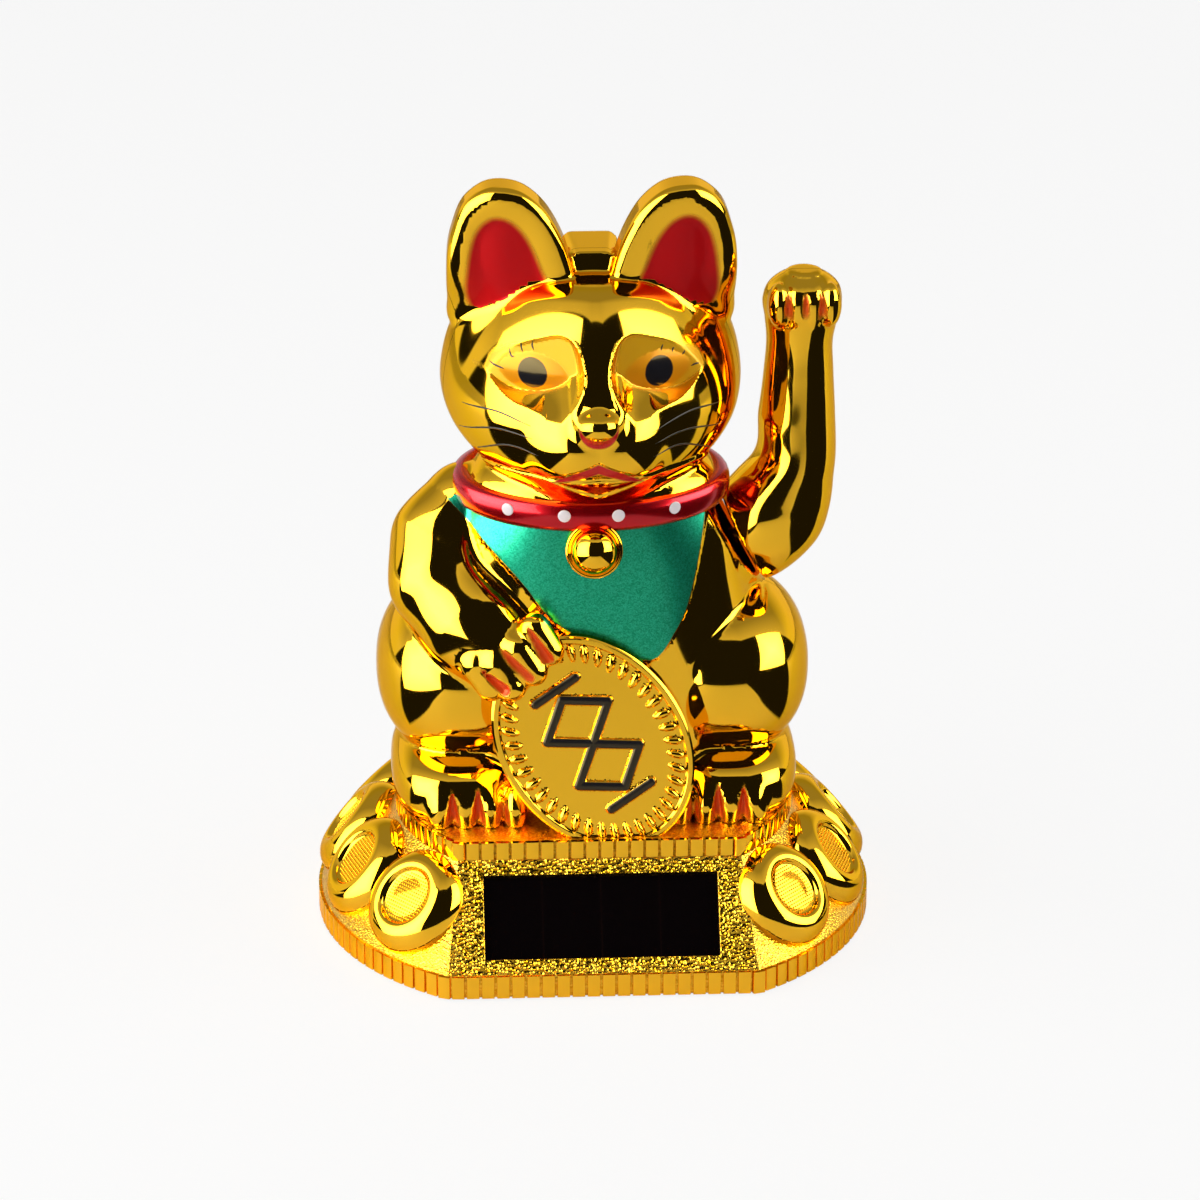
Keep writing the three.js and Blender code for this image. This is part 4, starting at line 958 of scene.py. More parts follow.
def half_shell(name, points, quads, field, material, front, cuts=()):
    piece = new_piece(name, points, quads, material)
    if front and on_face(points).any():
        finer(piece, field, on_face)
    way = 1 if front else -1
    trim(piece, (0, -way * SEAM_GAP / 2, 0), (0, way, 0))
    for point, outward in cuts:
        trim(piece, point, outward)
    piece.modifiers.new("wall", "SOLIDIFY").thickness = WALL * MM
    piece.modifiers["wall"].offset = -1
    keep_result(piece)
    sharpen(piece, 50)
    true_normals(piece, field)
    return piece


# %% Finer cells and true normals
def true_normals(piece, field):
    """Takes the outer skin's shading normals from the field."""
    mesh = piece.data
    p = positions(piece)
    way = slope_of(field, p)
    way /= np.maximum(np.linalg.norm(way, axis=1, keepdims=True), 1e-9)
    corner = np.empty(len(mesh.loops), np.int32)
    mesh.loops.foreach_get("vertex_index", corner)
    flat = np.empty(len(mesh.polygons) * 3)
    mesh.polygons.foreach_get("normal", flat)
    sizes = np.empty(len(mesh.polygons), np.int32)
    mesh.polygons.foreach_get("loop_total", sizes)
    face_way = np.repeat(flat.reshape(-1, 3), sizes, axis=0)
    wanted = way[corner]
    outer = (np.sum(wanted * face_way, axis=1) > 0.75) & (np.abs(field(p))[corner] < 0.1)
    wanted[~outer] = 0
    mesh.normals_split_custom_set(wanted.tolist())


def finer(piece, field, inside):
    """Halves the cells in a region and settles the new points on the surface."""
    def change(work):
        chosen = inside(np.array([v.co for v in work.verts]) / MM)
        edges = [e for e in work.edges if chosen[e.verts[0].index] and chosen[e.verts[1].index]]
        bmesh.ops.subdivide_edges(work, edges=edges, cuts=1, use_grid_fill=True)
        p = np.array([v.co for v in work.verts]) / MM
        chosen = inside(p)
        p[chosen] = settle(field, p[chosen], 2, CELL / 3)
        for v, place in zip(work.verts, p * MM):
            v.co = place
    reworked(piece, change)


def on_face(p):
    return near(p, (-17.5, -40, 68.5), (17.5, -9, 95.5))


# %% Make the cat
LOW, HIGH = np.array([-34.0, -32.0, 15.0]), np.array([34.0, 22.0, 112.0])
points, quads = skin(body_field, LOW, HIGH, CELL)
print("cat skin:", len(points), "points,", len(quads), "faces")
cat_pieces = {}
for name, front in (("cat_front", True), ("cat_back", False)):
    piece = half_shell(name, points, quads, body_field, cat_gold, front, [((0, 0, CAT_BOTTOM), (0, 0, -1))])
    set_areas(piece, painted_areas(positions(piece)))
    cat_pieces[name] = piece
    print(name, len(piece.data.polygons), "faces")

# %% [markdown]
# The waving arm is made the same way, as two halves with a wall. Its skin ends at the shoulder's plane.

# %% Make the waving arm
arm_gold, tree, shader = gold_plating("gold vacuum plating with painted claws")
paint_over(tree, shader, "claw", CLAW_RED, 0.05, 0.35, soft=0.2)
points, quads = skin(arm_field, (10, -9, 47), (38, 9, 99), CELL)
arm_pieces = {}
for name, front in (("arm_front", True), ("arm_back", False)):
    piece = half_shell(name, points, quads, arm_field, arm_gold, front)
    set_areas(piece, {"claw": CLAW_DEPTH - grooves(positions(piece), WAVING_CLAWS, WAVING_CLAW)})
    arm_pieces[name] = piece
    print(name, len(piece.data.polygons), "faces")

# %% [markdown]
# ## Collar and bell
# The collar is a raised band, painted a glossy red, that runs round the neck and rises a little towards the
# back. A rounded section is swept round it. The bell is a plain gold ball in a ring, and is turned about an
# axis as on a lathe.

# %% Sweeping a section along a path
def swept(path, rings_at, closed):
    """Joins rings of points, one at each place of the path, into a skin."""
    rings = [rings_at(i) for i in range(len(path))]
    count = len(rings[0])
    points = np.vstack(rings)
    faces = []
    for r in range(len(rings) if closed else len(rings) - 1):
        a, b = r * count, ((r + 1) % len(rings)) * count
        faces += [(a + i, a + (i + 1) % count, b + (i + 1) % count, b + i) for i in range(count)]
    if not closed:
        faces += [tuple(range(count)), tuple(range(len(points) - 1, len(points) - count - 1, -1))]
    return points, faces


# %% Collar
COLLAR_SQUARE = 0.8   # of the section: 1 is an oval, and less is boxier


def collar_place(turn):
    x, y = COLLAR_HALF[0] * np.cos(turn), COLLAR_HALF[1] * np.sin(turn)
    return COLLAR_CENTRE + np.array([x, y, COLLAR_TILT * y])


def collar_out(turn):
    out = np.array([math.cos(turn) / COLLAR_HALF[0], math.sin(turn) / COLLAR_HALF[1], 0])
    return out / np.linalg.norm(out)


def collar_ring(turn, sides=20):
    s = np.linspace(0, 2 * math.pi, sides, endpoint=False)
    bulge, rise = (np.sign(wave) * np.abs(wave) ** COLLAR_SQUARE for wave in (np.cos(s), np.sin(s)))
    return (collar_place(turn) + COLLAR_THICK * bulge[:, None] * collar_out(turn)
            + COLLAR_TALL * rise[:, None] * np.array([0, 0, 1]))


collar_red = new_material("red lacquer", Base_Color=linear("#BC0414"), Metallic=0.8, Roughness=0.24,
                          Coat_Weight=0.35, Coat_Roughness=0.05)[0]
turns = np.linspace(0, 2 * math.pi, 180, endpoint=False)
points, faces = swept(turns, lambda i: collar_ring(turns[i]), True)
collar = new_piece("collar", points, faces, collar_red)
face_outwards(collar)


# %% Round pieces
def ring_faces(rings, steps):
    """Faces over a middle point, rings of so many points, and a last middle point."""
    faces = [(0, 1 + (i + 1) % steps, 1 + i) for i in range(steps)]
    for a in range(1, 1 + (rings - 1) * steps, steps):
        faces += [(a + i, a + (i + 1) % steps, a + steps + (i + 1) % steps, a + steps + i)
                  for i in range(steps)]
    last = 1 + (rings - 1) * steps
    return faces + [(last + i, last + (i + 1) % steps, last + steps) for i in range(steps)]


def lathed(profile, steps):
    """A round piece about the Z axis, from pairs of radius and height. It starts and ends on the axis."""
    angles = np.linspace(0, 2 * math.pi, steps, endpoint=False)
    points = [(0, 0, profile[0][1])]
    for r, z in profile[1:-1]:
        points += [(r * math.cos(a), r * math.sin(a), z) for a in angles]
    points.append((0, 0, profile[-1][1]))
    return np.array(points), ring_faces(len(profile) - 2, steps)


def turned_to(points, axis, place):
    """Points made about the Z axis, turned to lie about another axis at a place."""
    turn = np.array(Vector((0, 0, 1)).rotation_difference(Vector(axis)).to_matrix())
    return points @ turn.T + np.asarray(place, float)


BELL_RADIUS = 3.2
BELL_CENTRE = (-0.5, -19.9, 61.0)
BELL_AXIS = (0, -0.98, 0.2)
ball_arc = np.linspace(-0.35, math.pi / 2, 20)
profile = [(0, -1.6), (3.9, -1.6), (4.05, -1.0), (3.98, -0.6), (3.75, -0.45), (3.45, -0.6), (3.22, -1.0)]
profile += [(BELL_RADIUS * math.cos(t), BELL_RADIUS * math.sin(t)) for t in ball_arc[1:]]
profile[-1] = (0, BELL_RADIUS)
points, faces = lathed(profile, 64)
bell = new_piece("bell", turned_to(points, BELL_AXIS, BELL_CENTRE), faces, plain_gold)
face_outwards(bell)
print("collar and bell made")


# %% [markdown]
# ## The coin
# The coin's face is a height over its plane, which is the simplest way to give a border, a row of round ribs
# and raised marks one even skin. The marks are plain ornament: two lozenges end to end and a bar beyond each.
# The foot of the oval is cut off level, where it stands on the plinth.

# %% Coin face
COIN_THICK = 6.4
BORDER, BORDER_HEIGHT = 1.3, 0.35
RIB_LENGTH, RIB_PITCH, RIB_HEIGHT = 2.6, 1.95, 0.62
STROKE_HALF, STROKE_HEIGHT = 0.62, 0.55
LOZENGE = (3.9, 5.2)
END_BAR, END_BAR_HALF = 9.4, 3.4
RIB_COUNT = round(2 * math.pi * (sum(COIN_HALF) / 2 - BORDER - RIB_LENGTH / 2) / RIB_PITCH)


def stroke_distance(a, b):
    """Distance to the middle line of the nearest mark."""
    corners = []
    for middle in (-LOZENGE[0], LOZENGE[0]):
        ring = [(middle - LOZENGE[0], 0), (middle, LOZENGE[1]), (middle + LOZENGE[0], 0),
                (middle, -LOZENGE[1])]
        corners += list(zip(ring, ring[1:] + ring[:1]))
    corners += [((s * END_BAR, -END_BAR_HALF), (s * END_BAR, END_BAR_HALF)) for s in (-1, 1)]
    gap = np.full(np.shape(a), np.inf)
    for (a0, b0), (a1, b1) in corners:
        ea, eb = a1 - a0, b1 - b0
        t = np.clip(((a - a0) * ea + (b - b0) * eb) / (ea * ea + eb * eb), 0, 1)
        gap = np.minimum(gap, np.hypot(a - a0 - t * ea, b - b0 - t * eb))
    return gap


def coin_height(a, b, inset, turn):
    """How far out the face is there, inset from the edge. The border's top is at 0."""
    rising = smooth_between(inset, 0, BORDER_HEIGHT)
    falling = 1 - smooth_between(inset, BORDER - BORDER_HEIGHT, BORDER)
    border = BORDER_HEIGHT * rising * falling
    along = (inset - BORDER - RIB_LENGTH / 2) / (RIB_LENGTH / 2)
    across = np.abs(np.sin(turn * RIB_COUNT / 2))
    rib = RIB_HEIGHT * np.sqrt(np.clip(1 - along ** 2 - (across * 1.25) ** 2, 0, 1))
    stroke = STROKE_HEIGHT * np.sqrt(np.clip(1 - (stroke_distance(a, b) / (STROKE_HALF * 1.25)) ** 2, 0, 1))
    return np.where(inset < BORDER, border, np.maximum(rib, stroke)) - BORDER_HEIGHT


# %% [markdown]
# The face is laid out in rings from the middle to the edge, closer together at the edge, where the ribs are.
# The strokes are masked with the distance that raised them, so that paint and relief match.

# %% Make the coin
coin_gold, tree, shader = gold_plating("gold vacuum plating with black strokes")
paint_over(tree, shader, "stroke", linear("#1B1B20"), 0.0, 0.28, soft=0.06)
rings, steps = ((110, 480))
share = np.linspace(0, 1, rings) ** 0.8
turn = np.linspace(0, 2 * math.pi, steps, endpoint=False)
u, t = np.meshgrid(share[1:], turn, indexing="ij")
a, b = COIN_HALF[0] * u * np.cos(t), COIN_HALF[1] * u * np.sin(t)
inset = (1 - u) * np.hypot(COIN_HALF[0] * np.cos(t), COIN_HALF[1] * np.sin(t))
height = coin_height(a, b, inset, t)
flat = np.stack([a, b, height], axis=-1).reshape(-1, 3)
side = flat[-steps:] - [0, 0, COIN_THICK]
flat = np.vstack([[0, 0, float(coin_height(0.0, 0.0, np.float64(9), 0.0))], flat, side, [0, 0, -COIN_THICK]])
points = COIN_MIDDLE + flat[:, :1] * COIN_LONG + flat[:, 1:2] * COIN_CROSS + flat[:, 2:] * COIN_OUT
coin = new_piece("coin", points, ring_faces(rings, steps), coin_gold)
face_outwards(coin)
trim(coin, (0, 0, CAT_BOTTOM), (0, 0, -1))
reworked(coin, lambda work: bmesh.ops.holes_fill(
    work, edges=[e for e in work.edges if e.is_boundary], sides=0))
sharpen(coin, 40)
q = positions(coin) - COIN_MIDDLE
a, b, out = q @ COIN_LONG, q @ COIN_CROSS, q @ COIN_OUT
set_areas(coin, {"stroke": np.where(out > -1, STROKE_HALF - stroke_distance(a, b), NOT_HERE)})
print("coin:", RIB_COUNT, "ribs,", len(coin.data.polygons), "faces")

# %% [markdown]
# ## Whiskers and lashes
# These are brushed on in black, a third of a millimetre wide. A mask in the material would be coarser than
# the line, so each is a thin ribbon that lies on the skin.

# %% Brushed lines
WHISKERS = [[(-18.5, 78.8), (-13.8, 79.8), (-9.3, 79.1)], [(-18.9, 74.9), (-14.1, 77.3), (-9.1, 77.4)],
            [(-18.0, 71.7), (-13.0, 75.2), (-8.3, 75.3)], [(18.0, 78.8), (13.0, 79.7), (7.6, 78.5)],
            [(18.1, 75.4), (13.0, 77.2), (7.9, 76.9)], [(17.8, 71.3), (12.4, 75.1), (7.7, 75.1)]]
LASHES = [[(-12.0, 88.1), (-11.7, 87.1), (-11.3, 87.0)], [(-10.3, 89.2), (-10.3, 88.5), (-10.1, 87.8)],
          [(-8.7, 89.7), (-8.8, 89.0), (-8.6, 88.3)], [(-14.7, 85.7), (-13.6, 85.3), (-12.7, 85.1)],
          [(9.4, 88.7), (9.2, 88.3), (9.1, 87.9)], [(11.0, 88.0), (10.8, 87.8), (10.7, 87.4)],
          [(12.5, 87.3), (12.4, 87.0), (12.1, 86.8)], [(14.6, 85.1), (14.0, 85.1), (13.4, 84.9)]]


def onto_skin(x, z):
    """The front of the face at those places."""
    p = np.stack([x, np.full_like(x, -30.0), z], axis=1)
    for _ in range(40):
        p[:, 1] += np.maximum(body_field(p), -0.4) * 0.7
    return p


def brushed_line(line, half_width):
    path = curve_through(line, 6)
    p = onto_skin(path[:, 0], path[:, 1])
    normal = slope_of(body_field, p)
    normal /= np.linalg.norm(normal, axis=1, keepdims=True)
    along = np.gradient(p, axis=0)
    across = np.cross(along, normal)
    across /= np.linalg.norm(across, axis=1, keepdims=True)
    around = np.linspace(0, 2 * math.pi, 6, endpoint=False)
    reach = half_width * np.clip(1.25 - np.abs(np.linspace(-1, 1, len(p))), 0.2, 0.8) / 0.8

    def ring(i):
        return (p[i] + reach[i] * np.cos(around)[:, None] * across[i]
                + 0.04 * np.sin(around)[:, None] * normal[i])
    return swept(p, ring, False)


black_paint = new_material("black brushed paint", Base_Color=linear("#17140C"), Metallic=0.0,
                           Roughness=0.35)[0]
WHISKER_HALF, LASH_HALF = 0.15, 0.13
drawn = [(line, WHISKER_HALF) for line in WHISKERS] + [(line, LASH_HALF) for line in LASHES]
lines = new_piece("whiskers_and_lashes", *gathered([brushed_line(*one) for one in drawn]), black_paint)
face_outwards(lines)
print("brushed lines:", len(WHISKERS) + len(LASHES))

# %% [markdown]
# ## Base cover
# The cover is a sloping drum with a flat front, where the window for the solar cell is. Its rows of points
# follow a circle that is cut off flat in front. The slope has a fine stipple, as spark erosion leaves in a
# mould, and the plating over it glitters, partly as painted glints. The panel's stipple is coarser. Both
# are drawn in the material.

# %% Base sizes
RIM_RADIUS, RIM_CENTRE_Y, RIM_FLAT, RIM_TOP = 40.0, -3.3, 33.4, 3.6
SLOPE_INSET = 0.6
PLINTH_RADIUS, PLINTH_CENTRE_Y, PLINTH_FLAT, BAND = 28.6, -5.2, 20.4, 2.6
PLINTH_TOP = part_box("base_cover")[1][2] / MM
RIB_DEEP = 0.45
COVER_WALL = 0.9
WINDOW = (33.2, 12.2)
COVER_LIFT = 0.3
ARC_STEPS = 144
SQUARE = ((-1, -1), (1, -1), (1, 1), (-1, 1))


def cut_circle(radius, centre_y, flat, steps):
    corner = math.acos(flat / radius)
    turn = np.linspace(corner, 2 * math.pi - corner, steps + 1)
    return np.stack([radius * np.sin(turn), centre_y - radius * np.cos(turn)], axis=1)


# %% Cover
def stippled(name, grain_mm, depth_mm, roughness):
    material, tree, shader = new_material(name, Base_Color=GOLD, Metallic=1.0, Roughness=roughness,
                                          Coat_Weight=0.2, Coat_Roughness=0.2)
    grains = put(tree, "ShaderNodeTexVoronoi", {"Vector": place_of(tree), "Scale": 1 / (grain_mm * MM)},
                 feature="SMOOTH_F1")
    bumped(tree, shader, grains.outputs["Distance"], depth_mm)
    # Each grain is tinted lighter or darker at random: painted glints over the stipple that the bump gives.
    tone = put(tree, "ShaderNodeSeparateColor", {"Color": grains.outputs["Color"]}).outputs["Green"]
    tree.links.new(mixed(tree, tone, linear("#D79A05"), linear("#FFD040")), shader.inputs["Base Color"])
    return material


slope_gold = stippled("gold plating on fine spark texture", 0.28, 0.12, 0.28)
panel_gold = stippled("gold plating on coarse spark texture", 0.42, 0.25, 0.22)

# %% [markdown]
# The cover is built from the bottom up, as rows of points at six levels. The front face of the slope stays
# open at first, and is then closed round the window.

# %% Rows of the cover
levels = [(RIM_RADIUS - RIB_DEEP, RIM_CENTRE_Y, RIM_FLAT - RIB_DEEP, COVER_LIFT),
          (RIM_RADIUS - RIB_DEEP, RIM_CENTRE_Y, RIM_FLAT - RIB_DEEP, RIM_TOP),
          (RIM_RADIUS - SLOPE_INSET, RIM_CENTRE_Y, RIM_FLAT - SLOPE_INSET, RIM_TOP + 0.02),
          (PLINTH_RADIUS, PLINTH_CENTRE_Y, PLINTH_FLAT, PLINTH_TOP - BAND),
          (PLINTH_RADIUS - RIB_DEEP, PLINTH_CENTRE_Y, PLINTH_FLAT - RIB_DEEP, PLINTH_TOP - BAND + 0.02),
          (PLINTH_RADIUS - RIB_DEEP, PLINTH_CENTRE_Y, PLINTH_FLAT - RIB_DEEP, PLINTH_TOP)]
SLOPE_LEVEL = 2
work = bmesh.new()
rows = [[work.verts.new((x * MM, y * MM, z * MM)) for x, y in cut_circle(r, cy, f, ARC_STEPS)]
        for r, cy, f, z in levels]
for r, (low_row, high_row) in enumerate(zip(rows[:-1], rows[1:])):
    for i in range(ARC_STEPS):
        work.faces.new((low_row[i], low_row[i + 1], high_row[i + 1], high_row[i]))
    if r != SLOPE_LEVEL:
        work.faces.new((low_row[-1], low_row[0], high_row[0], high_row[-1]))
# %% Front panel
left_foot, right_foot = rows[SLOPE_LEVEL][-1], rows[SLOPE_LEVEL][0]
left_head, right_head = rows[SLOPE_LEVEL + 1][-1], rows[SLOPE_LEVEL + 1][0]
panel_middle = (left_foot.co + right_foot.co + left_head.co + right_head.co) / 4
panel_up = ((left_head.co + right_head.co) - (left_foot.co + right_foot.co)).normalized()
to_side, to_top = Vector((WINDOW[0] / 2 * MM, 0, 0)), panel_up * WINDOW[1] / 2 * MM
window = [work.verts.new(panel_middle + x * to_side + z * to_top) for x, z in SQUARE]
corners = [left_foot, right_foot, right_head, left_head]
for i in range(4):
    face = work.faces.new((corners[i], corners[(i + 1) % 4], window[(i + 1) % 4], window[i]))
    face.material_index = 1
top = work.faces.new(rows[-1])
bmesh.ops.recalc_face_normals(work, faces=work.faces)
work.normal_update()
if top.normal.z < 0:
    bmesh.ops.reverse_faces(work, faces=work.faces)
# %% The cover's wall and edges
cover_mesh = bpy.data.meshes.new("base_cover_shell")
work.to_mesh(cover_mesh)
work.free()
for material in (slope_gold, panel_gold):
    cover_mesh.materials.append(material)
cover = in_scene("base_cover_shell", cover_mesh)
wall = cover.modifiers.new("wall", "SOLIDIFY")
wall.thickness, wall.offset = COVER_WALL * MM, -1
edge = cover.modifiers.new("edges", "BEVEL")
edge.width, edge.segments, edge.limit_method, edge.angle_limit = 0.18 * MM, 2, "ANGLE", math.radians(30)
keep_result(cover)
sharpen(cover, 35)
print("base cover:", len(cover.data.polygons), "faces")

# %% [markdown]
# ## Knurled bands
# Both bands are a row of flat ribs with narrow grooves between. Geometry Nodes set one rib on each point of a
# curve, at an even pitch, so a change of pitch or outline needs no other change.

# %% Trees and what they repeat
def geometry_tree(name, inputs):
    """A tree with named inputs. Each is a name, a socket kind and a starting value."""
    tree = bpy.data.node_groups.new(name, "GeometryNodeTree")
    tree.interface.new_socket("Geometry", in_out="INPUT", socket_type="NodeSocketGeometry")
    for label, kind, value in inputs:
        socket = tree.interface.new_socket(label, in_out="INPUT", socket_type=kind)
        if value is not None:
            socket.default_value = value
    tree.interface.new_socket("Geometry", in_out="OUTPUT", socket_type="NodeSocketGeometry")
    return tree, tree.nodes.new("NodeGroupInput")


def run_tree(piece, tree, values):
    """Puts the tree on a piece, sets its inputs by name, and keeps the result as a plain mesh."""
    modifier = piece.modifiers.new(tree.name, "NODES")
    modifier.node_group = tree
    for item in tree.interface.items_tree:
        if item.item_type == "SOCKET" and item.in_out == "INPUT" and item.name in values:
            modifier[item.identifier] = values[item.name]
    return keep_result(piece)


def finish_tree(tree, geometry, material_socket):
    real = put(tree, "GeometryNodeRealizeInstances", {"Geometry": geometry})
    coloured = put(tree, "GeometryNodeSetMaterial", {"Geometry": real.outputs[0],
                                                     "Material": material_socket})
    put(tree, "NodeGroupOutput", {"Geometry": coloured.outputs[0]})


def stencil(name, points, faces):
    """A small mesh that a tree repeats. It isn't linked to the scene."""
    mesh = bpy.data.meshes.new(name)
    mesh.from_pydata((np.asarray(points) * MM).tolist(), [], faces)
    mesh.polygons.foreach_set("use_smooth", [True] * len(mesh.polygons))
    mesh.update()
    return bpy.data.objects.new(name, mesh)


# %% Ribs
rib_tree, given = geometry_tree("ribs along an outline", [
    ("Pitch", "NodeSocketFloat", 0.0021), ("Rib", "NodeSocketObject", None),
    ("Material", "NodeSocketMaterial", None)])
line = put(rib_tree, "GeometryNodeMeshToCurve", {"Mesh": given.outputs["Geometry"]})
even = put(rib_tree, "GeometryNodeResampleCurve", {
    "Curve": line.outputs[0], "Length": given.outputs["Pitch"]}, mode="LENGTH")
tangent = put(rib_tree, "GeometryNodeInputTangent")
turned = put(rib_tree, "FunctionNodeAlignEulerToVector", {"Vector": tangent.outputs[0]}, axis="X",
             pivot_axis="Z")
rib_shape = put(rib_tree, "GeometryNodeObjectInfo", {"Object": given.outputs["Rib"]})
set_out = put(rib_tree, "GeometryNodeInstanceOnPoints", {"Points": even.outputs[0],
                                                         "Instance": rib_shape.outputs["Geometry"],
                                                         "Rotation": turned.outputs[0]})
finish_tree(rib_tree, set_out.outputs[0], given.outputs["Material"])


# %% Make the bands
def rib_block(width, deep, tall, edge=0.16):
    """One rib along Z, with its outer edges rounded off. It faces -Y before it is turned."""
    w, e = width / 2, edge
    left = [(-w, deep), (-w, e), (-w + e * 0.3, e * 0.3), (-w + e, 0)]
    section = left + [(-x, y) for x, y in reversed(left)]
    n = len(section)
    points = [(x, y, z) for z in (0, tall) for x, y in section]
    faces = [(i, (i + 1) % n, n + (i + 1) % n, n + i) for i in range(n)]
    return points, faces + [tuple(range(n - 1, -1, -1)), tuple(range(n, 2 * n))]


RIB_SHARE, RIB_ROOT = 0.84, 0.3   # of the pitch that the rib fills, and how deep it stands in the cover
KNURL_PITCH = 2.15


def knurled_band(name, radius, centre_y, flat, low, tall):
    outline = cut_circle(radius, centre_y, flat, ARC_STEPS)
    length = np.sum(np.linalg.norm(np.diff(np.vstack([outline, outline[:1]]), axis=0), axis=1))
    even_pitch = length / round(length / KNURL_PITCH)
    rib = stencil("rib", *rib_block(even_pitch * RIB_SHARE, RIB_DEEP + RIB_ROOT, tall))
    mesh = bpy.data.meshes.new(name)
    count = len(outline)
    mesh.from_pydata([(x * MM, y * MM, low * MM) for x, y in outline],
                     [(i, (i + 1) % count) for i in range(count)], [])
    band = in_scene(name, mesh)
    run_tree(band, rib_tree, {"Pitch": even_pitch * MM, "Rib": rib, "Material": plain_gold})
    sharpen(band, 35)
    print(name, "pitch", round(even_pitch, 3), "mm,", len(band.data.polygons), "faces")
    return band


rim_ribs = knurled_band("rim_ribs", RIM_RADIUS - 0.03, RIM_CENTRE_Y, RIM_FLAT - 0.03, COVER_LIFT,
                        RIM_TOP - COVER_LIFT)
plinth_ribs = knurled_band("plinth_ribs", PLINTH_RADIUS + 0.02, PLINTH_CENTRE_Y, PLINTH_FLAT + 0.02,
                           PLINTH_TOP - BAND + 0.05, BAND - 0.05)

# %% [markdown]
# ## Cups on the slope
# Twelve glossy cups stand round the slope. Each is a dome cut flat, with a dished disc in it that has a mesh
# of tiny beads. One tree sets the cups out on an arc, leaned to the slope, and then the beads in them.

# %% Cups
CUP_COUNT, CUP_FIRST = 12, 50.0
CUP_BASE, CUP_FACE, CUP_DISH, CUP_TALL, DISH_DEEP = 7.9, 5.2, 4.1, 3.0, 0.8
DISH_FLOOR, DISH_MIDDLE = 3.7, 2.4   # the floor's radius, and its height in the middle
slope_run = RIM_RADIUS - SLOPE_INSET - PLINTH_RADIUS
slope_rise = PLINTH_TOP - BAND - RIM_TOP
CUP_LEAN = math.atan2(slope_rise, slope_run)
CUP_REACH = (RIM_RADIUS - SLOPE_INSET + PLINTH_RADIUS) / 2
CUP_HEIGHT = (RIM_TOP + PLINTH_TOP - BAND) / 2

# %% [markdown]
# The angle of each cup is worked out from its number, so the cups stay evenly spread if their count changes.
# The front, where the panel is, stays free.

# %% Tree of the cups
cup_tree, given = geometry_tree("cups round the slope", [
    ("Count", "NodeSocketInt", 12), ("First Angle", "NodeSocketFloat", 0.87),
    ("Reach", "NodeSocketFloat", 0.03), ("Height", "NodeSocketFloat", 0.01),
    ("Lean", "NodeSocketFloat", 0.8), ("Centre", "NodeSocketFloat", 0.0),
    ("Cup", "NodeSocketObject", None), ("Material", "NodeSocketMaterial", None)])

dots = put(cup_tree, "GeometryNodePoints", {"Count": given.outputs["Count"]})
index = put(cup_tree, "GeometryNodeInputIndex").outputs[0]
span = sums(cup_tree, "SUBTRACT", 2 * math.pi, sums(cup_tree, "MULTIPLY", given.outputs["First Angle"], 2.0))
step = sums(cup_tree, "DIVIDE", span, sums(cup_tree, "SUBTRACT", given.outputs["Count"], 1.0))
angle = sums(cup_tree, "ADD", given.outputs["First Angle"], sums(cup_tree, "MULTIPLY", index, step))
heading = sums(cup_tree, "SUBTRACT", angle, math.pi / 2)
spot = put(cup_tree, "ShaderNodeCombineXYZ", {
    "X": sums(cup_tree, "MULTIPLY", given.outputs["Reach"], sums(cup_tree, "COSINE", heading)),
    "Y": sums(cup_tree, "ADD", given.outputs["Centre"],
              sums(cup_tree, "MULTIPLY", given.outputs["Reach"], sums(cup_tree, "SINE", heading))),
    "Z": given.outputs["Height"]}).outputs[0]
placed = put(cup_tree, "GeometryNodeSetPosition", {"Geometry": dots.outputs[0], "Position": spot})
lean = put(cup_tree, "ShaderNodeCombineXYZ", {"Y": given.outputs["Lean"], "Z": heading}).outputs[0]
cup_shape = put(cup_tree, "GeometryNodeObjectInfo", {"Object": given.outputs["Cup"]})
set_out = put(cup_tree, "GeometryNodeInstanceOnPoints", {"Points": placed.outputs[0],
                                                         "Instance": cup_shape.outputs["Geometry"],
                                                         "Rotation": lean})
finish_tree(cup_tree, set_out.outputs[0], given.outputs["Material"])

# %% Make the cups
CUP_PROFILE = [(0, -0.8), (CUP_BASE, -0.8), (CUP_BASE, 0.0), (7.72, 0.75), (7.35, 1.5), (6.8, 2.15),
               (6.15, 2.65), (5.6, 2.92), (CUP_FACE, CUP_TALL), (4.75, 3.02), (4.45, 2.98), (4.25, 2.85),
               (CUP_DISH, 2.6), (3.95, 2.3), (DISH_FLOOR, CUP_TALL - DISH_DEEP), (2.5, 2.3), (1.2, 2.38),
               (0, DISH_MIDDLE)]


def round_the_slope(name, shape, material):
    mesh = bpy.data.meshes.new(name)
    mesh.from_pydata([(0, 0, 0)], [], [])
    return run_tree(in_scene(name, mesh), cup_tree, {
        "Count": CUP_COUNT, "First Angle": math.radians(CUP_FIRST), "Reach": CUP_REACH * MM,
        "Height": CUP_HEIGHT * MM, "Lean": CUP_LEAN, "Centre": RIM_CENTRE_Y * MM, "Cup": shape,
        "Material": material})


cup_points, cup_faces = lathed(CUP_PROFILE, 56)
cups = round_the_slope("cups", stencil("cup", cup_points, cup_faces), plain_gold)
face_outwards(cups)
sharpen(cups, 60)

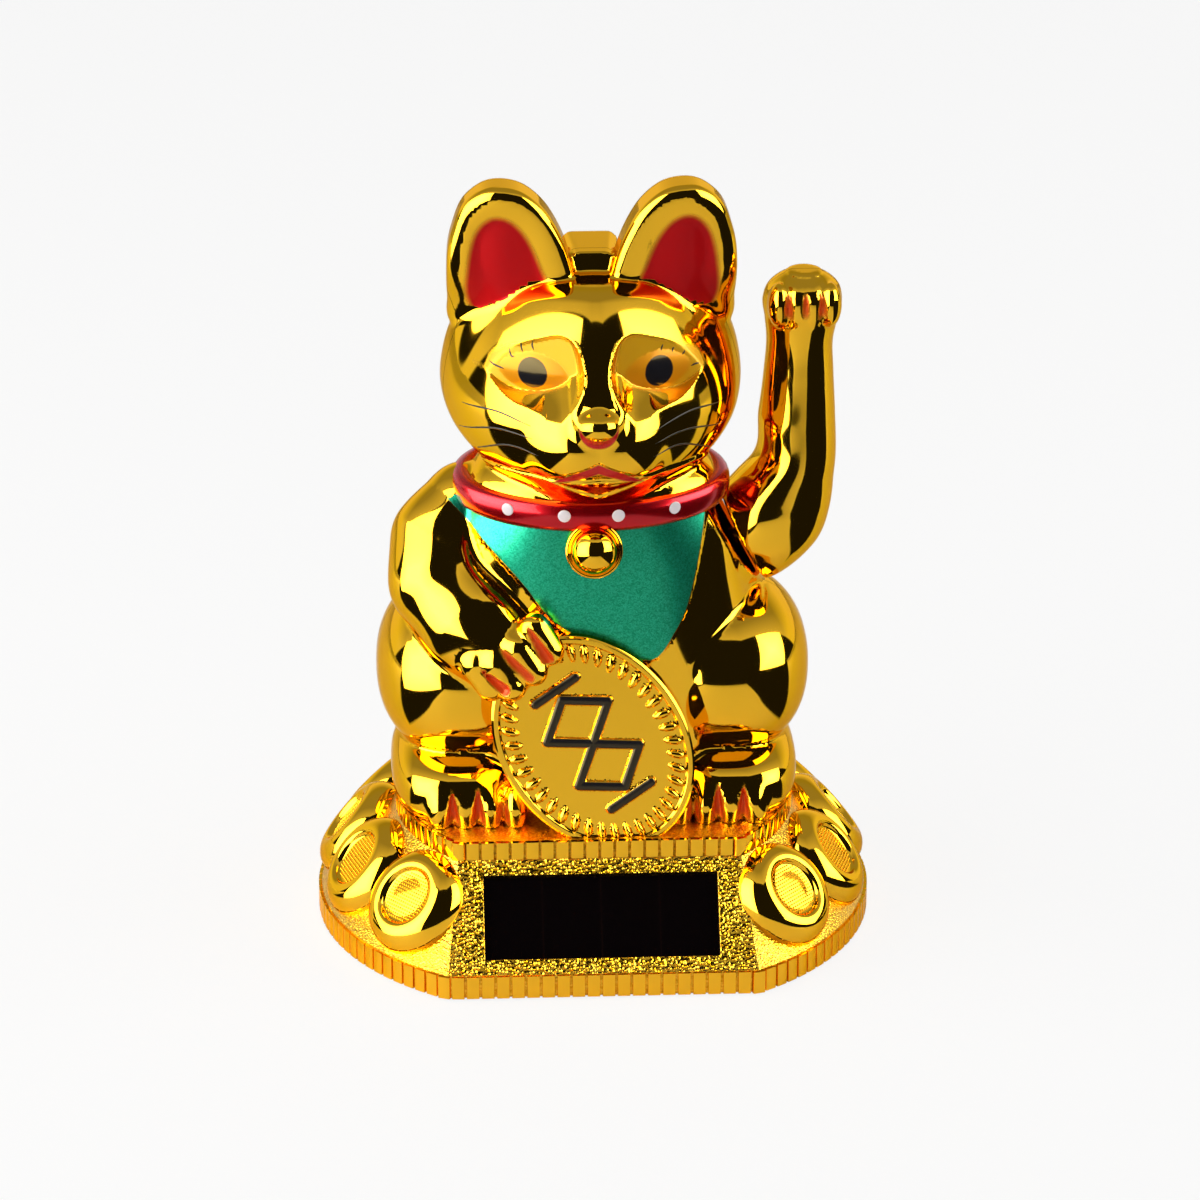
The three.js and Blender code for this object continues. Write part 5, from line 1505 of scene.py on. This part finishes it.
# %% Beads
BEAD, BEAD_PITCH = 0.17, 0.47
FLOOR_FALL = DISH_MIDDLE - CUP_TALL + DISH_DEEP
bead_points, bead_faces = lathed([(0, -1), (0.8, -0.3), (0.8, 0.45), (0, 1)], 6)
across = np.arange(-9, 10) * BEAD_PITCH
spots = [(x, y, DISH_MIDDLE - FLOOR_FALL * (math.hypot(x, y) / DISH_FLOOR) ** 2)
         for x in across for y in across if math.hypot(x, y) < DISH_FLOOR]
all_beads = gathered([(bead_points * BEAD + np.array(spot), bead_faces) for spot in spots])
beads = round_the_slope("cup_beads", stencil("beads", *all_beads), plain_gold)
print("cups:", len(cups.data.polygons), "faces, beads:", len(beads.data.polygons))

# %% [markdown]
# ## Dots on the collar
# The four white dots are drops of paint. They are small flattened domes, set on the band's outside and a
# little over its middle, where the brush put them.

# %% Dots
DOT_RADIUS, DOT_TALL, DOT_SUNK, DOT_RISE = 0.92, 0.16, 0.05, 0.55
white_paint = new_material("white paint drops", Base_Color=linear("#EDE6EA"), Roughness=0.3)[0]
arc = np.linspace(0, math.pi / 2, 5)
dome, dome_faces = lathed([(0, -0.3)] + [(DOT_RADIUS * math.cos(t), DOT_TALL * math.sin(t)) for t in arc], 24)


def dot_at(x):
    turn = -math.acos(x / COLLAR_HALF[0])
    out = collar_out(turn)
    place = collar_place(turn) + out * (COLLAR_THICK - DOT_SUNK) + np.array([0, 0, DOT_RISE])
    return turned_to(dome, out, place), dome_faces


collar_dots = new_piece("collar_dots", *gathered([dot_at(x) for x in (-11.3, -4.0, 3.1, 10.6)]), white_paint)
face_outwards(collar_dots)
print("dots made")

# %% [markdown]
# ## Finishes of the solid parts
# The solar cell, screws, board, axle and pendulum keep their solid shapes and only get a finish.

# %% Finishes for the CAD nodes
def plain(name, code, metallic, roughness, grain_mm):
    """A finish with a fine, slightly uneven gloss at a real grain size."""
    material, tree, shader = new_material(name, Base_Color=linear(code), Metallic=metallic,
                                          Roughness=roughness)
    grain = noise_at(tree, grain_mm, 4.0)
    uneven_gloss(tree, shader, grain, roughness * 0.75, roughness * 1.3)
    bumped(tree, shader, grain, 0.004, 0.6)
    return material


STRIP_MM = 8.3


def cell_finish():
    """Amorphous silicon behind glass: near black, with scribed lines between its four strips."""
    material, tree, shader = new_material("amorphous silicon behind glass", Roughness=0.05, Metallic=0.0)
    x = put(tree, "ShaderNodeSeparateXYZ", {"Vector": place_of(tree)}).outputs["X"]
    in_strip = sums(tree, "FRACT", sums(tree, "DIVIDE", x, STRIP_MM * MM))
    strip = sums(tree, "ABSOLUTE", sums(tree, "SUBTRACT", in_strip, 0.5))
    line = ramp_between(tree, strip, 0.485, 0.495)
    tree.links.new(mixed(tree, line, linear("#080405"), linear("#160B0A")), shader.inputs["Base Color"])
    return material


steel = plain("zinc plated steel", "#B9BCC0", 1.0, 0.3, 0.6)
FINISHES = {
    "solar_cell": cell_finish(),
    "circuit_board": plain("green solder mask", "#23643A", 0.0, 0.4, 0.8),
    "coil_bobbin": plain("white nylon", "#E6E4DC", 0.0, 0.45, 0.5),
    "drive_coil": plain("enamelled copper wire", "#B06A38", 0.9, 0.3, 0.3),
    "capacitor": plain("blue shrink sleeve", "#26335C", 0.0, 0.35, 0.7),
    "transistor": plain("black epoxy", "#1C1C1E", 0.0, 0.5, 0.4),
    "lead_red": plain("red PVC", "#B3202A", 0.0, 0.4, 0.5),
    "lead_black": plain("black PVC", "#17181A", 0.0, 0.4, 0.5),
    "pendulum": plain("white ABS", "#E6E4DC", 0.0, 0.4, 0.7),
    "magnet": plain("nickel plated magnet", "#C9CBD0", 1.0, 0.18, 0.5),
    "arm_axle": plain("ground steel rod", "#B9BCC0", 1.0, 0.2, 0.4),
    "bottom_plate": stippled("gold plating under the base", 0.35, 0.05, 0.3),
}
FINISHES.update({name: steel for name in frame["nodes"] if "screw" in name})
for name, material in FINISHES.items():
    node = frame["nodes"][name]
    if node.material_slots:
        node.material_slots[0].material = material
    else:
        node.data.materials.append(material)
print("finishes on", len(FINISHES), "solid parts")

# %% [markdown]
# ## Studio
# The gold shows its surroundings, so the studio matters as much as the metal. The photographer stood the cat
# on a small white table in a dark room, with a white sweep behind it, one large softbox at the left and one
# at the right. Metal sees that room here too. The camera sees plain white.

# %% Studio directions
# Each corner is a direction from the bell: degrees round from the front towards the cat's left, and up.
BOXES = {"left": [(-30, -3), (-50, 63), (-111, 22), (-96, -17)],
         "right": [(48, 11.5), (77, 55), (112, 24), (96, -1)]}
BOX_IN_METAL = (5.0, 9.0)
BOX_ON_PAINT = {"left": 2.2, "right": 1.9}
BOX_DISTANCE = 0.7
SWEEP_EDGES = [(0.43, 0.81, 0.395), (-0.48, 0.75, 0.45), (0, 0.93, 0.37)]   # the sweep is past these planes
ROOM_DARK, SWEEP_WHITE, EDGE_WHITE, OVERHEAD_WHITE = 0.012, 0.88, 0.72, 0.33
FILL = 0.3
BOX_CORNERS = {name: [direction(*corner) for corner in corners] for name, corners in BOXES.items()}
print("softboxes:", list(BOX_CORNERS))

# %% [markdown]
# The world is drawn as a function of the direction that a mirror looks in. Past three planes it is the white
# sweep, which is brightest low down and along its edge. Inside each softbox's four edges it is the lamp, a
# little brighter in the middle. The rest is the dark room. Rays from the camera see plain white, and matt
# surfaces get an even fill.

# %% World
world = bpy.data.worlds.new("studio")
bpy.context.scene.world = world
world.use_nodes = True
tree = world.node_tree
tree.nodes.clear()
look = put(tree, "ShaderNodeTexCoord").outputs["Generated"]
way = put(tree, "ShaderNodeSeparateXYZ", {"Vector": look}).outputs
above = sums(tree, "MULTIPLY", sums(tree, "ARCSINE", way["Z"]), 180 / math.pi)


def smallest_reach(normals):
    """How far the look reaches past the nearest of some planes."""
    reaches = [put(tree, "ShaderNodeVectorMath", {0: look, 1: tuple(normal)},
                   operation="DOT_PRODUCT").outputs["Value"] for normal in normals]
    least = reaches[0]
    for reach in reaches[1:]:
        least = sums(tree, "MINIMUM", least, reach)
    return least


past = smallest_reach(SWEEP_EDGES)
low_white = mixed_value(tree, ramp_between(tree, above, 10.0, 30.0), SWEEP_WHITE, OVERHEAD_WHITE)
edge_white = mixed_value(tree, ramp_between(tree, past, 0.0, 0.35), EDGE_WHITE, OVERHEAD_WHITE)
white = sums(tree, "MAXIMUM", low_white, edge_white)
in_metal = mixed_value(tree, ramp_between(tree, past, -0.008, 0.008), ROOM_DARK, white)
for corners in BOX_CORNERS.values():
    inward = sum(corners, Vector())
    normals = [a.cross(b).normalized() for a, b in zip(corners, corners[1:] + corners[:1])]
    depth = smallest_reach([normal if normal.dot(inward) > 0 else -normal for normal in normals])
    bright = put(tree, "ShaderNodeMapRange", {
        "Value": depth, "From Min": 0.0, "From Max": 0.35, "To Min": BOX_IN_METAL[0],
        "To Max": BOX_IN_METAL[1]}).outputs["Result"]
    in_metal = mixed_value(tree, ramp_between(tree, depth, 0.0, 0.012), in_metal, bright)
rays = put(tree, "ShaderNodeLightPath").outputs
strength = mixed_value(tree, rays["Is Glossy Ray"], FILL, in_metal)
straight = sums(tree, "MAXIMUM", rays["Is Camera Ray"], rays["Is Transmission Ray"])
strength = mixed_value(tree, straight, strength, 1.0)
put(tree, "ShaderNodeOutputWorld", {"Surface": put(tree, "ShaderNodeBackground", {
    "Color": (1, 1, 1, 1), "Strength": strength}).outputs[0]})
print("world:", len(tree.nodes), "nodes")

# %% [markdown]
# The painted surfaces are lit by two area lamps that stand where the softboxes do. Metal doesn't see them,
# because it sees the softboxes in the world already.

# %% Lamps
for name, corners in BOX_CORNERS.items():
    places = [corner * BOX_DISTANCE for corner in corners]
    middle = sum(places, Vector()) / 4
    lamp = bpy.data.lights.new(name + "_softbox", "AREA")
    lamp.shape = "RECTANGLE"
    lamp.size = ((places[0] - places[3]).length + (places[1] - places[2]).length) / 2
    lamp.size_y = ((places[0] - places[1]).length + (places[3] - places[2]).length) / 2
    lamp.energy = BOX_ON_PAINT[name] * math.pi * lamp.size * lamp.size_y
    holder = in_scene(name + "_softbox", lamp)
    aim(holder, TARGET + middle, TARGET)
    holder.visible_camera = False
    holder.visible_glossy = False
    print(name, "softbox:", round(lamp.size, 2), "by", round(lamp.size_y, 2), "m")

# %% [markdown]
# The table is a strip of white paper, narrow beside the cat and wider towards the camera. Metal sees past its
# edges into the dark room and the lower ends of the softboxes, and sees white again behind.

# %% Floor
STRIP_HALF, STRIP_SPREAD, STRIP_FRONT = 0.058, 0.4, -0.8
BEHIND_FROM, BEHIND_SLOPE = -0.012, 0.2
EDGE_BLUR, PAPER_SHARE, FLOOR_REACH = 0.002, 0.86, 3000
floor_material, tree, shader = new_material("white table paper", Base_Color=linear("#F4F4F2"), Roughness=0.7)
place = put(tree, "ShaderNodeSeparateXYZ", {"Vector": place_of(tree)}).outputs
beside = sums(tree, "ABSOLUTE", place["X"])
widening = sums(tree, "MULTIPLY", sums(tree, "MINIMUM", place["Y"], 0.0), STRIP_SPREAD)
reach = sums(tree, "SUBTRACT", STRIP_HALF, widening)
on_strip = ramp_between(tree, sums(tree, "SUBTRACT", reach, beside), -EDGE_BLUR, EDGE_BLUR)
front_end = ramp_between(tree, place["Y"], STRIP_FRONT - 0.01, STRIP_FRONT + 0.01)
on_strip = sums(tree, "MULTIPLY", on_strip, front_end)
border = sums(tree, "ADD", sums(tree, "MULTIPLY", beside, BEHIND_SLOPE), BEHIND_FROM)
behind = ramp_between(tree, sums(tree, "SUBTRACT", place["Y"], border), -EDGE_BLUR, EDGE_BLUR)
paper_seen = sums(tree, "MAXIMUM", on_strip, behind)
rays = put(tree, "ShaderNodeLightPath").outputs
bright = put(tree, "ShaderNodeEmission", {"Color": (1, 1, 1, 1), "Strength": 1.0}).outputs[0]
no_floor = put(tree, "ShaderNodeBsdfTransparent").outputs[0]
lit = put(tree, "ShaderNodeMixShader", {"Fac": sums(tree, "MULTIPLY", rays["Is Camera Ray"], PAPER_SHARE),
                                        1: shader.outputs[0], 2: bright}).outputs[0]
unlit = sums(tree, "MULTIPLY", rays["Is Glossy Ray"], sums(tree, "SUBTRACT", 1.0, paper_seen))
seen = put(tree, "ShaderNodeMixShader", {"Fac": unlit, 1: lit, 2: no_floor}).outputs[0]
tree.links.new(seen, tree.nodes["Material Output"].inputs["Surface"])
corners = [(x * FLOOR_REACH, y * FLOOR_REACH, 0) for x, y in SQUARE]
floor = new_piece("floor", corners, [(0, 1, 2, 3)], floor_material, smooth=False)
print("paper strip:", round(2 * STRIP_HALF / MM), "mm wide beside the cat")

# %% Bodies and replaced nodes
RIDES = {
    "root": [(cat_pieces["cat_front"], "gold_cat"), (cat_pieces["cat_back"], "gold_cat"),
             (collar, "gold_cat"), (bell, "gold_cat"), (coin, "gold_cat"), (lines, "gold_cat"),
             (collar_dots, "gold_cat"), (cover, "gold_base"), (rim_ribs, "gold_base"),
             (plinth_ribs, "gold_base"), (cups, "gold_base"), (beads, "gold_base")],
    "waving_arm": [(arm_pieces["arm_front"], "gold_cat"), (arm_pieces["arm_back"], "gold_cat")],
}
for body, pieces in RIDES.items():
    for piece, finish in pieces:
        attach(piece, body)
    print(body, "carries", len(pieces), "pieces")
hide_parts("cat_front_shell")
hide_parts("cat_back_shell")
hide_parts("arm_front_half")
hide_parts("arm_back_half")
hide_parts("base_cover")
